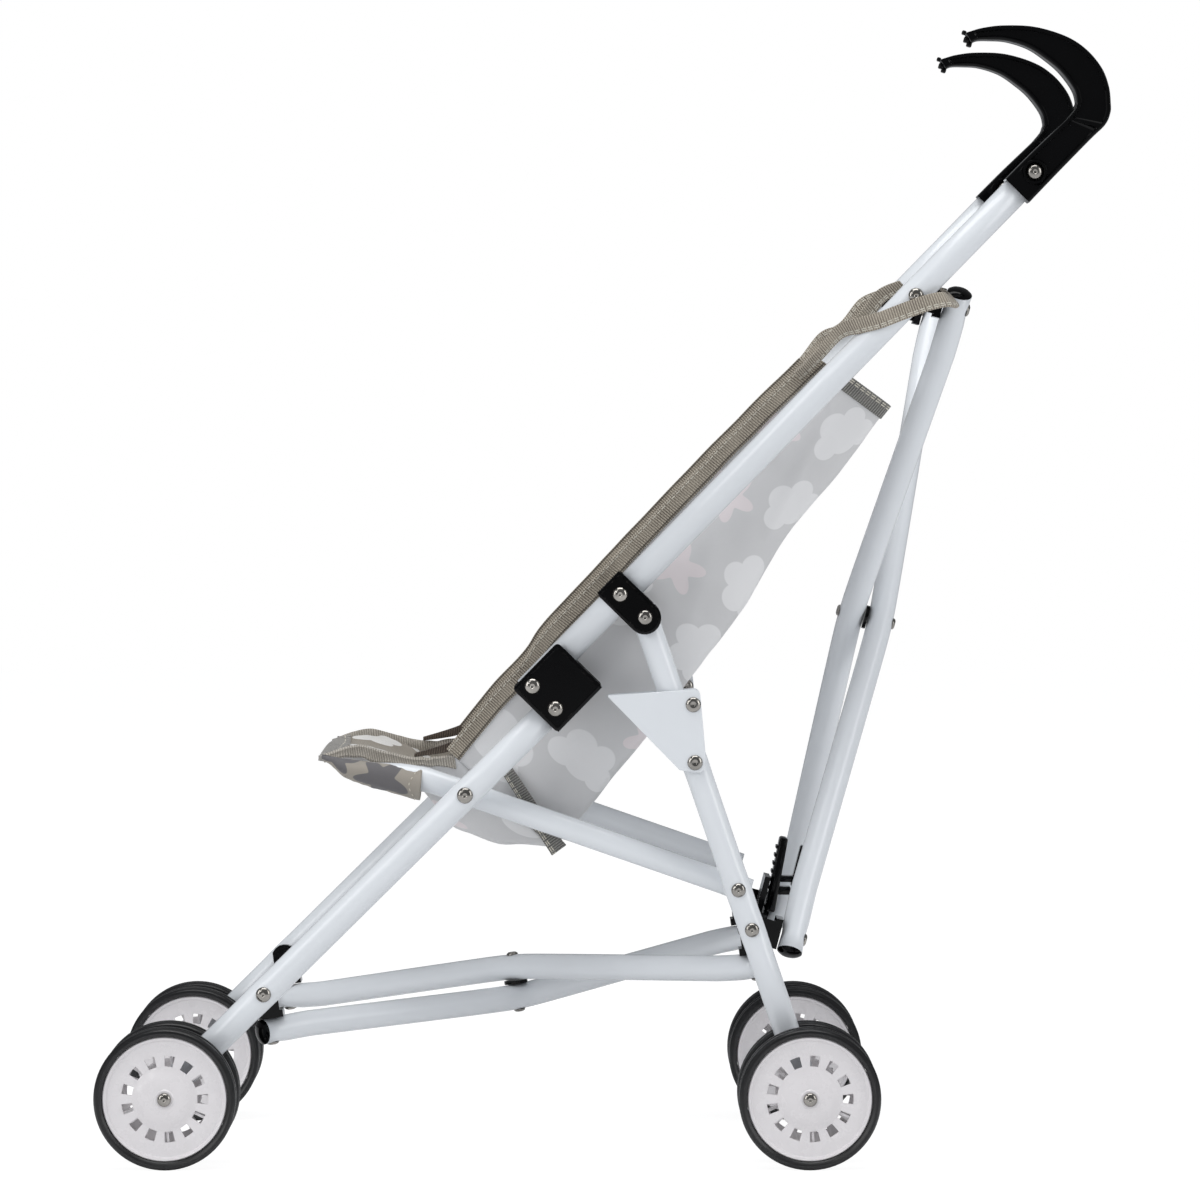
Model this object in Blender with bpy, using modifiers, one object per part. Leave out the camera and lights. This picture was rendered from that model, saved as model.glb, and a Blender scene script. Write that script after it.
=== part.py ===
"""Umbrella doll stroller: two folding side frames joined by a lower and a back scissor brace.

Metres, +Z up, front at -Y, the stroller's left side at +X. The origin is on the floor under the middle.
A side frame lies in a plane of constant X, so its places are (Y, Z) pairs.
"""
import math

import bmesh
import bpy
from mathutils import Matrix, Vector

# Side frames, (Y, Z) in metres
SIDE_X = 0.107            # centre plane of the legs and handle tubes
RAIL_X = 0.0913           # centre plane of the seat rails, inside the legs
HINGE = (-0.0345, 0.2377)         # handle tube on front leg
RAIL_PIVOT = (-0.0678, 0.1836)    # seat rail on front leg
LUG_PIVOT = (0.0210, 0.2715)      # rear leg under the handle tube
RAIL_END = (0.0671, 0.1368)       # seat rail on rear leg
FRONT_FOOT = (-0.2180, 0.0350)    # on the front leg's axis, beside the axle
FRONT_HUB = (-0.2152, 0.0350)
REAR_HUB = (0.1020, 0.0350)
GRIP_RIVET = (0.2124, 0.4905)
LATCH_PIVOT = (0.0456, 0.1999)
LATCH_STOP = (0.0447, 0.2285)
LOWER_FRONT = (-0.1673, 0.0852)   # lower brace knuckle on the front leg
LOWER_REAR = (0.0738, 0.1171)     # both braces' knuckles on the rear leg
BACK_TOP = (0.1542, 0.4298)       # back brace knuckle on the handle tube

# Tubes
MAIN_R = 0.007
LEG_R = 0.0065
RAIL_R = 0.006
BRACE_R = 0.0065
WALL = 0.001
TUBE_SIDES = 16

# Scissor braces
BRACE_X = 0.091           # half the distance between a brace's end rivets
LOWER_DROP = 0.0200       # brace plane below its knuckle pivots
BACK_DROP = 0.0215        # brace plane behind its knuckle pivots
LOWER_TAIL = 0.0050       # tube past its end rivet
BACK_TAIL = 0.0080
BRACE_BOW = 0.00765       # each tube bows this far round the other at the middle

# Wheels
WHEEL_R = 0.035
WHEEL_OFFSET = 0.016      # wheel's middle from the leg's centre plane
WHEEL_STEPS = 24
AXLE_R = 0.0020
PIN_R = 0.0018
HOLE_R = 0.0023

MERGE = 0.00001


def direction(start, end):
    """Unit vector in the side plane between two (Y, Z) places."""
    step = Vector((end[0] - start[0], end[1] - start[1]))
    return step.normalized()


def along(start, line, distance):
    """The (Y, Z) place a distance along a side-plane line."""
    return (start[0] + line[0] * distance, start[1] + line[1] * distance)


HANDLE_LINE = direction(HINGE, GRIP_RIVET)
FRONT_LINE = direction(FRONT_FOOT, RAIL_PIVOT)
REAR_LINE = direction(LUG_PIVOT, REAR_HUB)
RAIL_LINE = direction(RAIL_PIVOT, RAIL_END)
LOWER_LINE = direction(LOWER_FRONT, LOWER_REAR)
BACK_LINE = direction(LOWER_REAR, BACK_TOP)


def across(line):
    """Normal of a side-plane line, a quarter turn anticlockwise seen from +X."""
    return Vector((-line[1], line[0]))


# Collections

def new_collection(name):
    group = bpy.data.collections.new(name)
    bpy.context.scene.collection.children.link(group)
    return group


for leftover in list(bpy.data.objects):
    bpy.data.objects.remove(leftover)
PARTS = new_collection("doll_stroller")
CUTTERS = new_collection("cutters")


def material(name, colour, roughness, metallic=0.0):
    finish = bpy.data.materials.new(name)
    finish.use_nodes = True
    shader = finish.node_tree.nodes["Principled BSDF"]
    shader.inputs["Base Color"].default_value = (*colour, 1.0)
    shader.inputs["Roughness"].default_value = roughness
    shader.inputs["Metallic"].default_value = metallic
    return finish


WHITE_PAINT = material("white_paint", (0.86, 0.88, 0.90), 0.25)
BLACK_PLASTIC = material("black_plastic", (0.012, 0.012, 0.013), 0.2)
WHITE_PLASTIC = material("white_plastic", (0.85, 0.83, 0.84), 0.35)
TYRE_PLASTIC = material("tyre_black", (0.025, 0.025, 0.027), 0.45)
STEEL = material("bright_steel", (0.62, 0.61, 0.58), 0.25, 1.0)
CLOTH = material("taupe_cloth", (0.42, 0.37, 0.31), 0.9)


def new_object(name, mesh, finish, group=None):
    thing = bpy.data.objects.new(name, mesh)
    (group or PARTS).objects.link(thing)
    if finish:
        mesh.materials.append(finish)
    return thing


def mesh_from(bm, name):
    mesh = bpy.data.meshes.new(name)
    bm.to_mesh(mesh)
    bm.free()
    return mesh


def smooth(mesh, angle=40):
    mesh.shade_smooth()
    mesh.set_sharp_from_angle(angle=math.radians(angle))


# Placing: a frame's local Z runs along a line, and its local X stays parallel to the world's X

def placed(x, place, line):
    """Matrix with its origin at x and (Y, Z), local Z along a side-plane line and local X along +X."""
    z_axis = Vector((0.0, line[0], line[1]))
    x_axis = Vector((1.0, 0.0, 0.0))
    y_axis = z_axis.cross(x_axis)
    turn = Matrix((x_axis, y_axis, z_axis)).transposed().to_4x4()
    return Matrix.Translation((x, place[0], place[1])) @ turn


ALONG_X = Matrix.Rotation(math.radians(90), 4, "Y")   # takes local Z to +X


def crosswise(x, place):
    """Matrix with local Z along +X, for axles, pins and wheels."""
    return Matrix.Translation((x, place[0], place[1])) @ ALONG_X


# Shapes

def cutter(name, mesh, matrix):
    tool = new_object(name, mesh, None, CUTTERS)
    tool.matrix_world = matrix
    tool.hide_render = True
    tool.display_type = "WIRE"
    return tool


def cut(thing, tool, operation="DIFFERENCE"):
    step = thing.modifiers.new(tool.name, "BOOLEAN")
    step.operation = operation
    step.object = tool


def box_mesh(name, low, high):
    bm = bmesh.new()
    bmesh.ops.create_cube(bm, size=1.0)
    size = [high[i] - low[i] for i in range(3)]
    middle = [(high[i] + low[i]) / 2 for i in range(3)]
    bmesh.ops.scale(bm, vec=size, verts=bm.verts)
    bmesh.ops.translate(bm, vec=middle, verts=bm.verts)
    return mesh_from(bm, name)


def rod_mesh(name, radius, start, end, sides=12):
    """A solid cylinder along local Z."""
    bm = bmesh.new()
    bmesh.ops.create_cone(bm, cap_ends=True, segments=sides, radius1=radius, radius2=radius,
                          depth=end - start)
    bmesh.ops.translate(bm, vec=(0, 0, (start + end) / 2), verts=bm.verts)
    return mesh_from(bm, name)


def turned(name, profile, matrix, finish, steps=WHEEL_STEPS, ring=False):
    """A turned shape about local Z. The profile is (radius, height), top to bottom down its outer side."""
    bm = bmesh.new()
    points = [bm.verts.new((radius, 0, height)) for radius, height in profile]
    pairs = list(zip(points, points[1:]))
    if ring:
        pairs.append((points[-1], points[0]))
    for pair in pairs:
        bm.edges.new(pair)
    thing = new_object(name, mesh_from(bm, name), finish)
    thing.matrix_world = matrix
    turn = thing.modifiers.new("turn", "SCREW")
    turn.steps = steps
    turn.render_steps = steps
    turn.use_merge_vertices = True
    turn.merge_threshold = MERGE
    turn.use_smooth_shade = True
    return thing


def tube(name, x, start, end, radius, finish=WHITE_PAINT):
    """A straight thin-walled tube, open at both ends, between two (Y, Z) places."""
    length = math.dist(start, end)
    bm = bmesh.new()
    bmesh.ops.create_cone(bm, cap_ends=False, segments=TUBE_SIDES, radius1=radius, radius2=radius,
                          depth=length)
    bmesh.ops.translate(bm, vec=(0, 0, length / 2), verts=bm.verts)
    mesh = mesh_from(bm, name)
    smooth(mesh)
    thing = new_object(name, mesh, finish)
    thing.matrix_world = placed(x, start, direction(start, end))
    wall = thing.modifiers.new("wall", "SOLIDIFY")
    wall.thickness = WALL
    wall.offset = -1
    return thing


def cross_hole(thing, place, radius=HOLE_R, x=SIDE_X):
    """A hole along X through a piece of a side frame."""
    mesh = rod_mesh(thing.name + "_hole", radius, -0.03, 0.03)
    matrix = crosswise(math.copysign(x, thing.matrix_world.translation.x), place)
    cut(thing, cutter(thing.name + "_hole", mesh, matrix))


def flat_mesh(name, outline, low, high):
    """A flat outline in local Y and Z, given thickness along X from low to high."""
    shape = bpy.data.curves.new(name, "CURVE")
    shape.dimensions = "2D"
    shape.fill_mode = "BOTH"
    shape.extrude = (high - low) / 2
    line = shape.splines.new("POLY")
    line.points.add(len(outline) - 1)
    for point, (y, z) in zip(line.points, outline):
        point.co = (y, z, 0, 1)
    line.use_cyclic_u = True
    carrier = bpy.data.objects.new(name, shape)
    CUTTERS.objects.link(carrier)
    graph = bpy.context.evaluated_depsgraph_get()
    mesh = bpy.data.meshes.new_from_object(carrier.evaluated_get(graph))
    bpy.data.objects.remove(carrier)
    bm = bmesh.new()
    bm.from_mesh(mesh)
    bmesh.ops.remove_doubles(bm, verts=bm.verts, dist=MERGE)
    turn = Matrix(((0, 0, 1, (low + high) / 2), (1, 0, 0, 0), (0, 1, 0, 0), (0, 0, 0, 1)))
    bmesh.ops.transform(bm, matrix=turn, verts=bm.verts)
    bmesh.ops.recalc_face_normals(bm, faces=bm.faces)
    bm.to_mesh(mesh)
    bm.free()
    mesh.name = name
    return mesh


def arc(centre, radius, start, end, count):
    """Points on an arc, angles in degrees from local Y towards local Z."""
    found = []
    for step in range(count + 1):
        angle = math.radians(start + (end - start) * step / count)
        found.append((centre[0] + radius * math.cos(angle), centre[1] + radius * math.sin(angle)))
    return found


# Pieces of one side frame

BRACKET_LOW = -0.0079     # hinge bracket along the handle tube, from the hinge
BRACKET_HIGH = 0.0241
BRACKET_TOP = 0.0063      # across the handle tube, from the hinge
BRACKET_BOTTOM = -0.0250
BRACKET_SIDE = 0.0094
BRACKET_GAP = 0.0075
LUG_AT = 0.0626           # lug's middle along the handle tube, from the hinge
LUG_HALF = 0.0082
LUG_SIDE = 0.0094
LUG_GAP = 0.0074


def front_leg(side, tag):
    top = along(RAIL_PIVOT, FRONT_LINE, 0.0800)
    foot = along(FRONT_FOOT, FRONT_LINE, -0.0045)
    leg = tube("front_leg_" + tag, side * SIDE_X, foot, top, MAIN_R)
    cross_hole(leg, FRONT_HUB)
    cross_hole(leg, RAIL_PIVOT)
    return leg


def handle_tube(side, tag):
    low = along(HINGE, HANDLE_LINE, -0.0035)
    high = along(HINGE, HANDLE_LINE, 0.3770)
    handle = tube("handle_tube_" + tag, side * SIDE_X, low, high, MAIN_R)
    cross_hole(handle, HINGE)
    return handle


def rear_leg(side, tag):
    top = along(LUG_PIVOT, REAR_LINE, -0.0050)
    foot = along(REAR_HUB, REAR_LINE, 0.0060)
    leg = tube("rear_leg_" + tag, side * SIDE_X, top, foot, LEG_R)
    cross_hole(leg, LUG_PIVOT)
    cross_hole(leg, REAR_HUB)
    cross_hole(leg, LATCH_PIVOT)
    return leg


def seat_rail(side, tag):
    front = along(RAIL_PIVOT, RAIL_LINE, -0.0600)
    back = along(RAIL_END, RAIL_LINE, 0.0065)
    rail = tube("seat_rail_" + tag, side * RAIL_X, front, back, RAIL_R)
    cross_hole(rail, RAIL_PIVOT)
    return rail


def hinge_bracket(side, tag):
    """Channel riveted on the front leg's top: two cheeks and a web under the leg, open towards the front."""
    name = "hinge_bracket_" + tag
    frame = placed(side * SIDE_X, HINGE, HANDLE_LINE)
    # local Y points down and back from the handle tube
    low = (-BRACKET_SIDE, -BRACKET_TOP, BRACKET_LOW)
    high = (BRACKET_SIDE, -BRACKET_BOTTOM, BRACKET_HIGH)
    thing = new_object(name, box_mesh(name, low, high), BLACK_PLASTIC)
    thing.matrix_world = frame
    edge = thing.modifiers.new("edge", "BEVEL")
    edge.width = 0.0012
    edge.segments = 1
    channel = box_mesh(name + "_channel", (-BRACKET_GAP, -0.03, -0.03), (BRACKET_GAP, 0.0233, 0.04))
    cut(thing, cutter(name + "_channel", channel, frame))
    cross_hole(thing, HINGE)
    return thing


def rear_leg_lug(side, tag):
    """Saddle over the handle tube whose two cheeks hold the rear leg's top on a rivet."""
    name = "rear_leg_lug_" + tag
    frame = placed(side * SIDE_X, along(HINGE, HANDLE_LINE, LUG_AT), HANDLE_LINE)
    outline = [(-0.0092, -LUG_HALF), (-0.0092, LUG_HALF)]
    outline += arc((0.0161, 0), LUG_HALF, 90, -90, 8)
    thing = new_object(name, flat_mesh(name, outline, -LUG_SIDE, LUG_SIDE), BLACK_PLASTIC)
    thing.matrix_world = frame
    channel = box_mesh(name + "_channel", (-LUG_GAP, -0.0074, -0.02), (LUG_GAP, 0.04, 0.02))
    cut(thing, cutter(name + "_channel", channel, frame))
    rivet = rod_mesh(name + "_rivet", PIN_R, -LUG_SIDE - 0.0012, LUG_SIDE + 0.0012)
    cut(thing, cutter(name + "_rivet", rivet, crosswise(side * SIDE_X, LUG_PIVOT)), "UNION")
    return thing


def handle_grip(side, tag):
    """Umbrella hook: a socket on the tube's end that runs into a tapering horn towards the front."""
    name = "handle_grip_" + tag
    mouth = 0.3407            # along the handle tube, from the hinge
    frame = placed(side * SIDE_X, HINGE, HANDLE_LINE)
    outline = [(-0.0084, mouth), (-0.0082, 0.3800), (-0.0076, 0.3880), (-0.0097, 0.3925), (-0.0164, 0.3960),
               (-0.0260, 0.3973), (-0.0402, 0.3958), (-0.0515, 0.3915), (-0.0589, 0.3862), (-0.0653, 0.3798),
               (-0.0661, 0.3757), (-0.0715, 0.3772), (-0.0707, 0.3811), (-0.0675, 0.3865), (-0.0611, 0.3943),
               (-0.0498, 0.4043), (-0.0358, 0.4114), (-0.0240, 0.4138), (-0.0123, 0.4126), (-0.0034, 0.4087),
               (0.0029, 0.4037), (0.0065, 0.3995), (0.0085, 0.3940), (0.0084, 0.3850), (0.0084, mouth)]
    thing = new_object(name, flat_mesh(name, outline, -0.0088, 0.0088), BLACK_PLASTIC)
    thing.matrix_world = frame
    bore = rod_mesh(name + "_bore", MAIN_R + 0.0004, mouth - 0.01, 0.3774, TUBE_SIDES)
    cut(thing, cutter(name + "_bore", bore, frame))
    return thing


def latch_plate(side, tag):
    """Safety latch: two plates on a rivet through the rear leg, joined by a stop rivet behind the leg."""
    name = "latch_plate_" + tag
    outline = [(0.0027, 0.2329), (0.0435, 0.2360), (0.0482, 0.2335), (0.0506, 0.2035),
               (0.0502, 0.1978), (0.0465, 0.1950), (0.0380, 0.1962)]
    thing = new_object(name, flat_mesh(name, outline, 0.0074, 0.0084), WHITE_PAINT)
    middle = Matrix.Translation((side * SIDE_X, 0, 0))
    thing.matrix_world = middle
    inner = flat_mesh(name + "_inner", outline, -0.0084, -0.0074)
    cut(thing, cutter(name + "_inner", inner, middle), "UNION")
    for label, place in (("pivot", LATCH_PIVOT), ("stop", LATCH_STOP)):
        rivet = rod_mesh(name + "_" + label, PIN_R, -0.0094, 0.0094, 10)
        cut(thing, cutter(name + "_" + label, rivet, crosswise(side * SIDE_X, place)), "UNION")
    return thing


def headed_pin(name, x_low, x_high, place, shaft=PIN_R, head=0.0036, crown=0.0013):
    """A rivet or axle along X: a shaft between two low heads, which start at x_low and x_high."""
    profile = [(0, x_high + crown), (head * 0.7, x_high + crown * 0.8), (head, x_high), (shaft, x_high),
               (shaft, x_low), (head, x_low), (head * 0.7, x_low - crown * 0.8), (0, x_low - crown)]
    return turned(name, profile, crosswise(0, place), STEEL, steps=12)


def pins_and_axles(side, tag):
    spans = (
        ("hinge_pin_", HINGE, SIDE_X - BRACKET_SIDE - 0.0003, SIDE_X + BRACKET_SIDE + 0.0003, PIN_R, 0.0036),
        ("rail_pin_", RAIL_PIVOT, RAIL_X - RAIL_R - 0.0003, SIDE_X + MAIN_R + 0.0003, PIN_R, 0.0036),
        ("front_axle_", FRONT_HUB, 0.0836, 0.1304, AXLE_R, 0.0034),
        ("rear_axle_", REAR_HUB, 0.0836, 0.1304, AXLE_R, 0.0034),
    )
    for label, place, inside, outside, shaft, head in spans:
        ends = sorted((side * inside, side * outside))
        headed_pin(label + tag, ends[0], ends[1], place, shaft, head)


def wheels(side, tag):
    tyre = [(0.0310, 0.0062), (0.0335, 0.0070), (WHEEL_R, 0.0045), (WHEEL_R, -0.0045), (0.0335, -0.0070),
            (0.0310, -0.0062)]
    rim = [(0.0025, 0.0068), (0.0150, 0.0058), (0.0175, 0.0035), (0.0280, 0.0035), (0.0305, 0.0055),
           (0.0305, -0.0055), (0.0280, -0.0030), (0.0080, -0.0030), (0.0060, -0.0068), (0.0025, -0.0068)]
    for end, hub in (("front", FRONT_HUB), ("rear", REAR_HUB)):
        for place, offset in (("outer", WHEEL_OFFSET), ("inner", -WHEEL_OFFSET)):
            label = f"{end}_{tag}_{place}"
            facing = side if offset > 0 else -side
            matrix = crosswise(side * (SIDE_X + offset), hub)
            if facing < 0:
                matrix = matrix @ Matrix.Rotation(math.pi, 4, "X")
            turned("tyre_" + label, tyre, matrix, TYRE_PLASTIC, ring=True)
            turned("rim_" + label, rim, matrix, WHITE_PLASTIC, ring=True)


# Scissor braces

def brace_point(middle, line, normal, spread, share, offset):
    """A point on a brace's centre line: share runs from -1 to 1 between the end rivets."""
    half, x_end = spread
    y = middle[0] + line[0] * half * share + normal[0] * offset
    z = middle[1] + line[1] * half * share + normal[1] * offset
    return Vector((x_end * share, y, z))


def brace_tube(name, middle, line, normal, half, x_end, tail, bow):
    """A brace tube that bows by a tube's radius round its partner at the middle."""
    reach = 1 + tail / math.hypot(half, x_end)
    shape = bpy.data.curves.new(name, "CURVE")
    shape.dimensions = "3D"
    shape.bevel_depth = BRACE_R
    shape.bevel_resolution = 4
    shape.use_fill_caps = False
    stations = [(-reach, 0), (-0.86, 0), (-0.13, bow), (0.13, bow), (0.86, 0), (reach, 0)]
    run = shape.splines.new("POLY")
    run.points.add(len(stations) - 1)
    for point, (share, offset) in zip(run.points, stations):
        point.co = (*brace_point(middle, line, normal, (half, x_end), share, offset), 1)
    thing = bpy.data.objects.new(name, shape)
    PARTS.objects.link(thing)
    shape.materials.append(WHITE_PAINT)
    wall = thing.modifiers.new("wall", "SOLIDIFY")
    wall.thickness = WALL
    wall.offset = -1
    return thing


def brace_pair(label, low, high, drop, tail):
    """Two tubes crossed between knuckle pivots low and high, on the side that the drop points to."""
    line = direction(low, high)
    normal = -across(line)
    half = math.dist(low, high) / 2
    middle = ((low[0] + high[0]) / 2 + normal[0] * drop, (low[1] + high[1]) / 2 + normal[1] * drop)
    # tube a starts at the left's low end, and bows away from the knuckles' pivots
    brace_tube(label + "_a", middle, line, normal, half, -BRACE_X, tail, BRACE_BOW)
    brace_tube(label + "_b", middle, line, normal, half, BRACE_X, tail, -BRACE_BOW)
    frame = placed(0, middle, normal)
    spacer = BRACE_BOW - BRACE_R - 0.0003
    turned(label + "_spacer", [(0, spacer), (0.0060, spacer), (0.0060, -spacer), (0, -spacer)], frame,
           BLACK_PLASTIC, steps=16)


WEB = (0.0950, 0.0996)            # knuckle web from inner to outer face
WEB_INNER = (0.0950, 0.0971)      # two webs share the rear leg's rivet
WEB_OUTER = (0.0975, 0.0996)
LOCK_X = 0.0778                   # fold lock's arm pivots


def knuckle(name, side, place, line, normal, drop, span=WEB, inner=0.0840):
    """Plastic corner on a leg's inner face: a web round the pitch rivet, and a tongue over the brace."""
    frame = placed(0, place, line)
    reach = drop - BRACE_R - 0.0003
    web = [(reach, -0.006), (reach, 0.006)] + arc((0, 0), 0.007, 120, 240, 6)
    ends = sorted((side * span[0], side * span[1]))
    thing = new_object(name, flat_mesh(name, web, *ends), BLACK_PLASTIC)
    thing.matrix_world = frame
    widths = sorted((side * inner, side * span[1]))
    tongue = box_mesh(name + "_tongue", (widths[0], reach - 0.0035, -0.0075), (widths[1], reach, 0.0075))
    cut(thing, cutter(name + "_tongue", tongue, frame), "UNION")
    if inner < LOCK_X:
        pin = rod_mesh(name + "_pin", PIN_R, 0.0022, reach - 0.001)
        turn = frame @ Matrix.Translation((side * LOCK_X, 0, 0)) @ Matrix.Rotation(math.radians(-90), 4, "X")
        cut(thing, cutter(name + "_pin", pin, turn), "UNION")
    return thing


LOWER_NORMAL = -across(LOWER_LINE)
BACK_NORMAL = -across(BACK_LINE)


def braces():
    brace_pair("lower_brace", LOWER_FRONT, LOWER_REAR, LOWER_DROP, LOWER_TAIL)
    brace_pair("back_brace", LOWER_REAR, BACK_TOP, BACK_DROP, BACK_TAIL)
    for side, tag in ((1, "left"), (-1, "right")):
        knuckle("front_knuckle_" + tag, side, LOWER_FRONT, LOWER_LINE, LOWER_NORMAL, LOWER_DROP)
        knuckle("rear_knuckle_" + tag, side, LOWER_REAR, LOWER_LINE, LOWER_NORMAL, LOWER_DROP,
                WEB_OUTER)
        knuckle("back_low_knuckle_" + tag, side, LOWER_REAR, BACK_LINE, BACK_NORMAL, BACK_DROP,
                WEB_INNER, 0.0756)
        knuckle("back_top_knuckle_" + tag, side, BACK_TOP, BACK_LINE, BACK_NORMAL, BACK_DROP)


# Rear fold lock: two flat arms lapped at the middle, each in its own layer in front of the back brace

ARM_HALF = 0.0070
ARM_PAST = 0.0060         # each arm reaches this far past the middle


def lock_arm(side, tag, low, high):
    """One arm of the fold lock, on the pin of the low knuckle. The left one carries the pedal."""
    name = "lock_arm_" + tag
    frame = placed(0, LOWER_REAR, BACK_LINE)
    outline = [(LOCK_X + x, z) for x, z in arc((0, 0), ARM_HALF, -90, 90, 8)]
    outline += [(x - ARM_PAST, z) for x, z in arc((0, 0), ARM_HALF, 90, 270, 8)]
    mesh = flat_mesh(name, [(side * x, z) for x, z in outline], low, high)
    mesh.transform(Matrix(((0, 1, 0, 0), (1, 0, 0, 0), (0, 0, 1, 0), (0, 0, 0, 1))))
    mesh.flip_normals()
    thing = new_object(name, mesh, BLACK_PLASTIC)
    thing.matrix_world = frame
    if side > 0:
        pedal = box_mesh(name + "_pedal", (0.002, low + 0.0003, 0.003), (0.030, high - 0.0003, 0.022))
        cut(thing, cutter(name + "_pedal", pedal, frame), "UNION")
    hole = rod_mesh(name + "_hole", HOLE_R, -0.01, 0.03)
    hole.transform(Matrix.Rotation(math.radians(15), 4, "Z"))
    turn = frame @ Matrix.Translation((side * LOCK_X, 0, 0)) @ Matrix.Rotation(math.radians(-90), 4, "X")
    cut(thing, cutter(name + "_hole", hole, turn))
    return thing


# Seat cloth

CLOTH_WALL = 0.002
PAN_SIDE = 0.0830         # the pan's raised edges lie just inside the seat rails
SLEEVE_WALL = 0.0011
SLEEVE_HALF = 0.0075      # the sleeve's half width, and its reach over and under the rail's axis
SLEEVE_OVER = 0.0088
SLEEVE_UNDER = 0.0112
# each row: half width at the front edge and at the back fold, then the places of the two
BACK_ROWS = (
    (0.0942, 0.0800, (0.2140, 0.0150), (0.1415, 0.3745)),
    (0.0942, 0.0800, (0.1690, 0.0158), (0.1130, 0.3385)),
    (0.0942, 0.0800, (0.1250, 0.0160), (0.0850, 0.3025)),
    (0.0942, 0.0800, (0.0800, 0.0152), (0.0620, 0.2640)),
    (0.0942, 0.0800, (0.0350, 0.0143), (0.0355, 0.2295)),
    (0.0910, 0.0790, (-0.0080, 0.0108), (0.0060, 0.1910)),
    (0.0832, 0.0760, (-0.0536, 0.0073), (-0.0235, 0.1560)),
)
PAN_ROWS = (
    ((-0.0745, 0.1985), (-0.0262, 0.1556)),
    ((-0.0800, 0.1980), (-0.0520, 0.1572)),
    ((-0.0880, 0.1984), (-0.0740, 0.1665)),
    ((-0.0970, 0.1995), (-0.0870, 0.1850)),
    ((-0.1180, 0.2040), (-0.1130, 0.1940)),
    ((-0.1385, 0.2020), (-0.1390, 0.1985)),
)


def cloth_shell(name, rows, thickness=CLOTH_WALL, wrap=False):
    """A sheet of cloth through rows of points, given a wall. A wrapped sheet closes each row into a ring."""
    bm = bmesh.new()
    grid = [[bm.verts.new(point) for point in row] for row in rows]
    for upper, lower in zip(grid, grid[1:]):
        count = len(upper)
        for step in range(count if wrap else count - 1):
            after = (step + 1) % count
            bm.faces.new((upper[step], upper[after], lower[after], lower[step]))
    thing = new_object(name, mesh_from(bm, name), CLOTH)
    wall = thing.modifiers.new("wall", "SOLIDIFY")
    wall.thickness = thickness
    wall.offset = -1
    return thing


def trough(half, panel, edge, fold):
    """One cross-section of the sling, from the left front edge round the back fold to the right one."""
    middle = Vector((0, *edge)).lerp(Vector((0, *fold)), 0.62)
    row = [Vector((half, *edge)), Vector(((half + panel) / 2 + 0.0015, middle.y, middle.z))]
    row += [Vector((panel, *fold))]
    return row + [Vector((-point.x, point.y, point.z)) for point in reversed(row)]


def seat_back():
    rows = []
    for half, panel, (reach, above), fold in reversed(BACK_ROWS):
        place = along(HINGE, HANDLE_LINE, reach)
        upward = across(HANDLE_LINE)
        rows.append(trough(half, panel, (place[0] + upward[0] * above, place[1] + upward[1] * above), fold))
    return cloth_shell("seat_back", rows)


def seat_pan():
    rows = [trough(PAN_SIDE, PAN_SIDE - 0.0100, edge, fold) for edge, fold in reversed(PAN_ROWS)]
    return cloth_shell("seat_pan", rows)


def seat_sleeve(side, tag):
    """The pan's hem sewn round the front end of a seat rail."""
    down = -across(RAIL_LINE)
    rows = []
    for reach, share, lift in ((-0.0740, 0.45, 0.0030), (-0.0615, 1, 0), (-0.0245, 1, 0)):
        centre = along(RAIL_PIVOT, RAIL_LINE, reach)
        ring = []
        for x, y in arc((0, 0), 1, 0, 337.5, 15):
            drop = y * share * (SLEEVE_UNDER if y > 0 else SLEEVE_OVER) - lift
            ring.append(Vector((side * (RAIL_X + SLEEVE_HALF * share * x), centre[0] + down[0] * drop,
                                centre[1] + down[1] * drop)))
        rows.append(ring)
    if side < 0:
        rows.reverse()
    return cloth_shell("seat_sleeve_" + tag, rows, SLEEVE_WALL, True)


# Bodies: each moving body's parts hang from an empty on its joint's axis

def hang(name, place, parts):
    pivot = bpy.data.objects.new(name, None)
    PARTS.objects.link(pivot)
    pivot.location = place
    bpy.context.view_layer.update()
    for part in parts:
        child = bpy.data.objects[part]
        keep = child.matrix_world.copy()
        child.parent = pivot
        child.matrix_parent_inverse = pivot.matrix_world.inverted()
        child.matrix_world = keep


def build():
    for side, tag in ((1, "left"), (-1, "right")):
        front_leg(side, tag)
        handle_tube(side, tag)
        rear_leg(side, tag)
        seat_rail(side, tag)
        hinge_bracket(side, tag)
        rear_leg_lug(side, tag)
        handle_grip(side, tag)
        latch_plate(side, tag)
        pins_and_axles(side, tag)
        wheels(side, tag)
    braces()
    lock_arm(1, "left", 0.0032, 0.0067)
    lock_arm(-1, "right", 0.0072, 0.0107)
    seat_back()
    seat_pan()
    for side, tag in ((1, "left"), (-1, "right")):
        seat_sleeve(side, tag)
        x = side * SIDE_X
        hang("fold_axis_" + tag, (x, *HINGE),
             ["handle_tube_" + tag, "handle_grip_" + tag, "rear_leg_lug_" + tag])
        hang("rear_leg_axis_" + tag, (x, *LUG_PIVOT), ["rear_leg_" + tag, "rear_axle_" + tag])
        hang("seat_rail_axis_" + tag, (x, *RAIL_PIVOT), ["seat_rail_" + tag, "seat_sleeve_" + tag])
        hang("latch_axis_" + tag, (x, *LATCH_PIVOT), ["latch_plate_" + tag])
        for end, hub in (("front", FRONT_HUB), ("rear", REAR_HUB)):
            for place in ("outer", "inner"):
                label = f"{end}_{tag}_{place}"
                hang("axis_" + label, (x, *hub), ["tyre_" + label, "rim_" + label])


build()
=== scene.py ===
import math

import bmesh
import bpy
from mathutils import Matrix, Vector, noise


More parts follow.
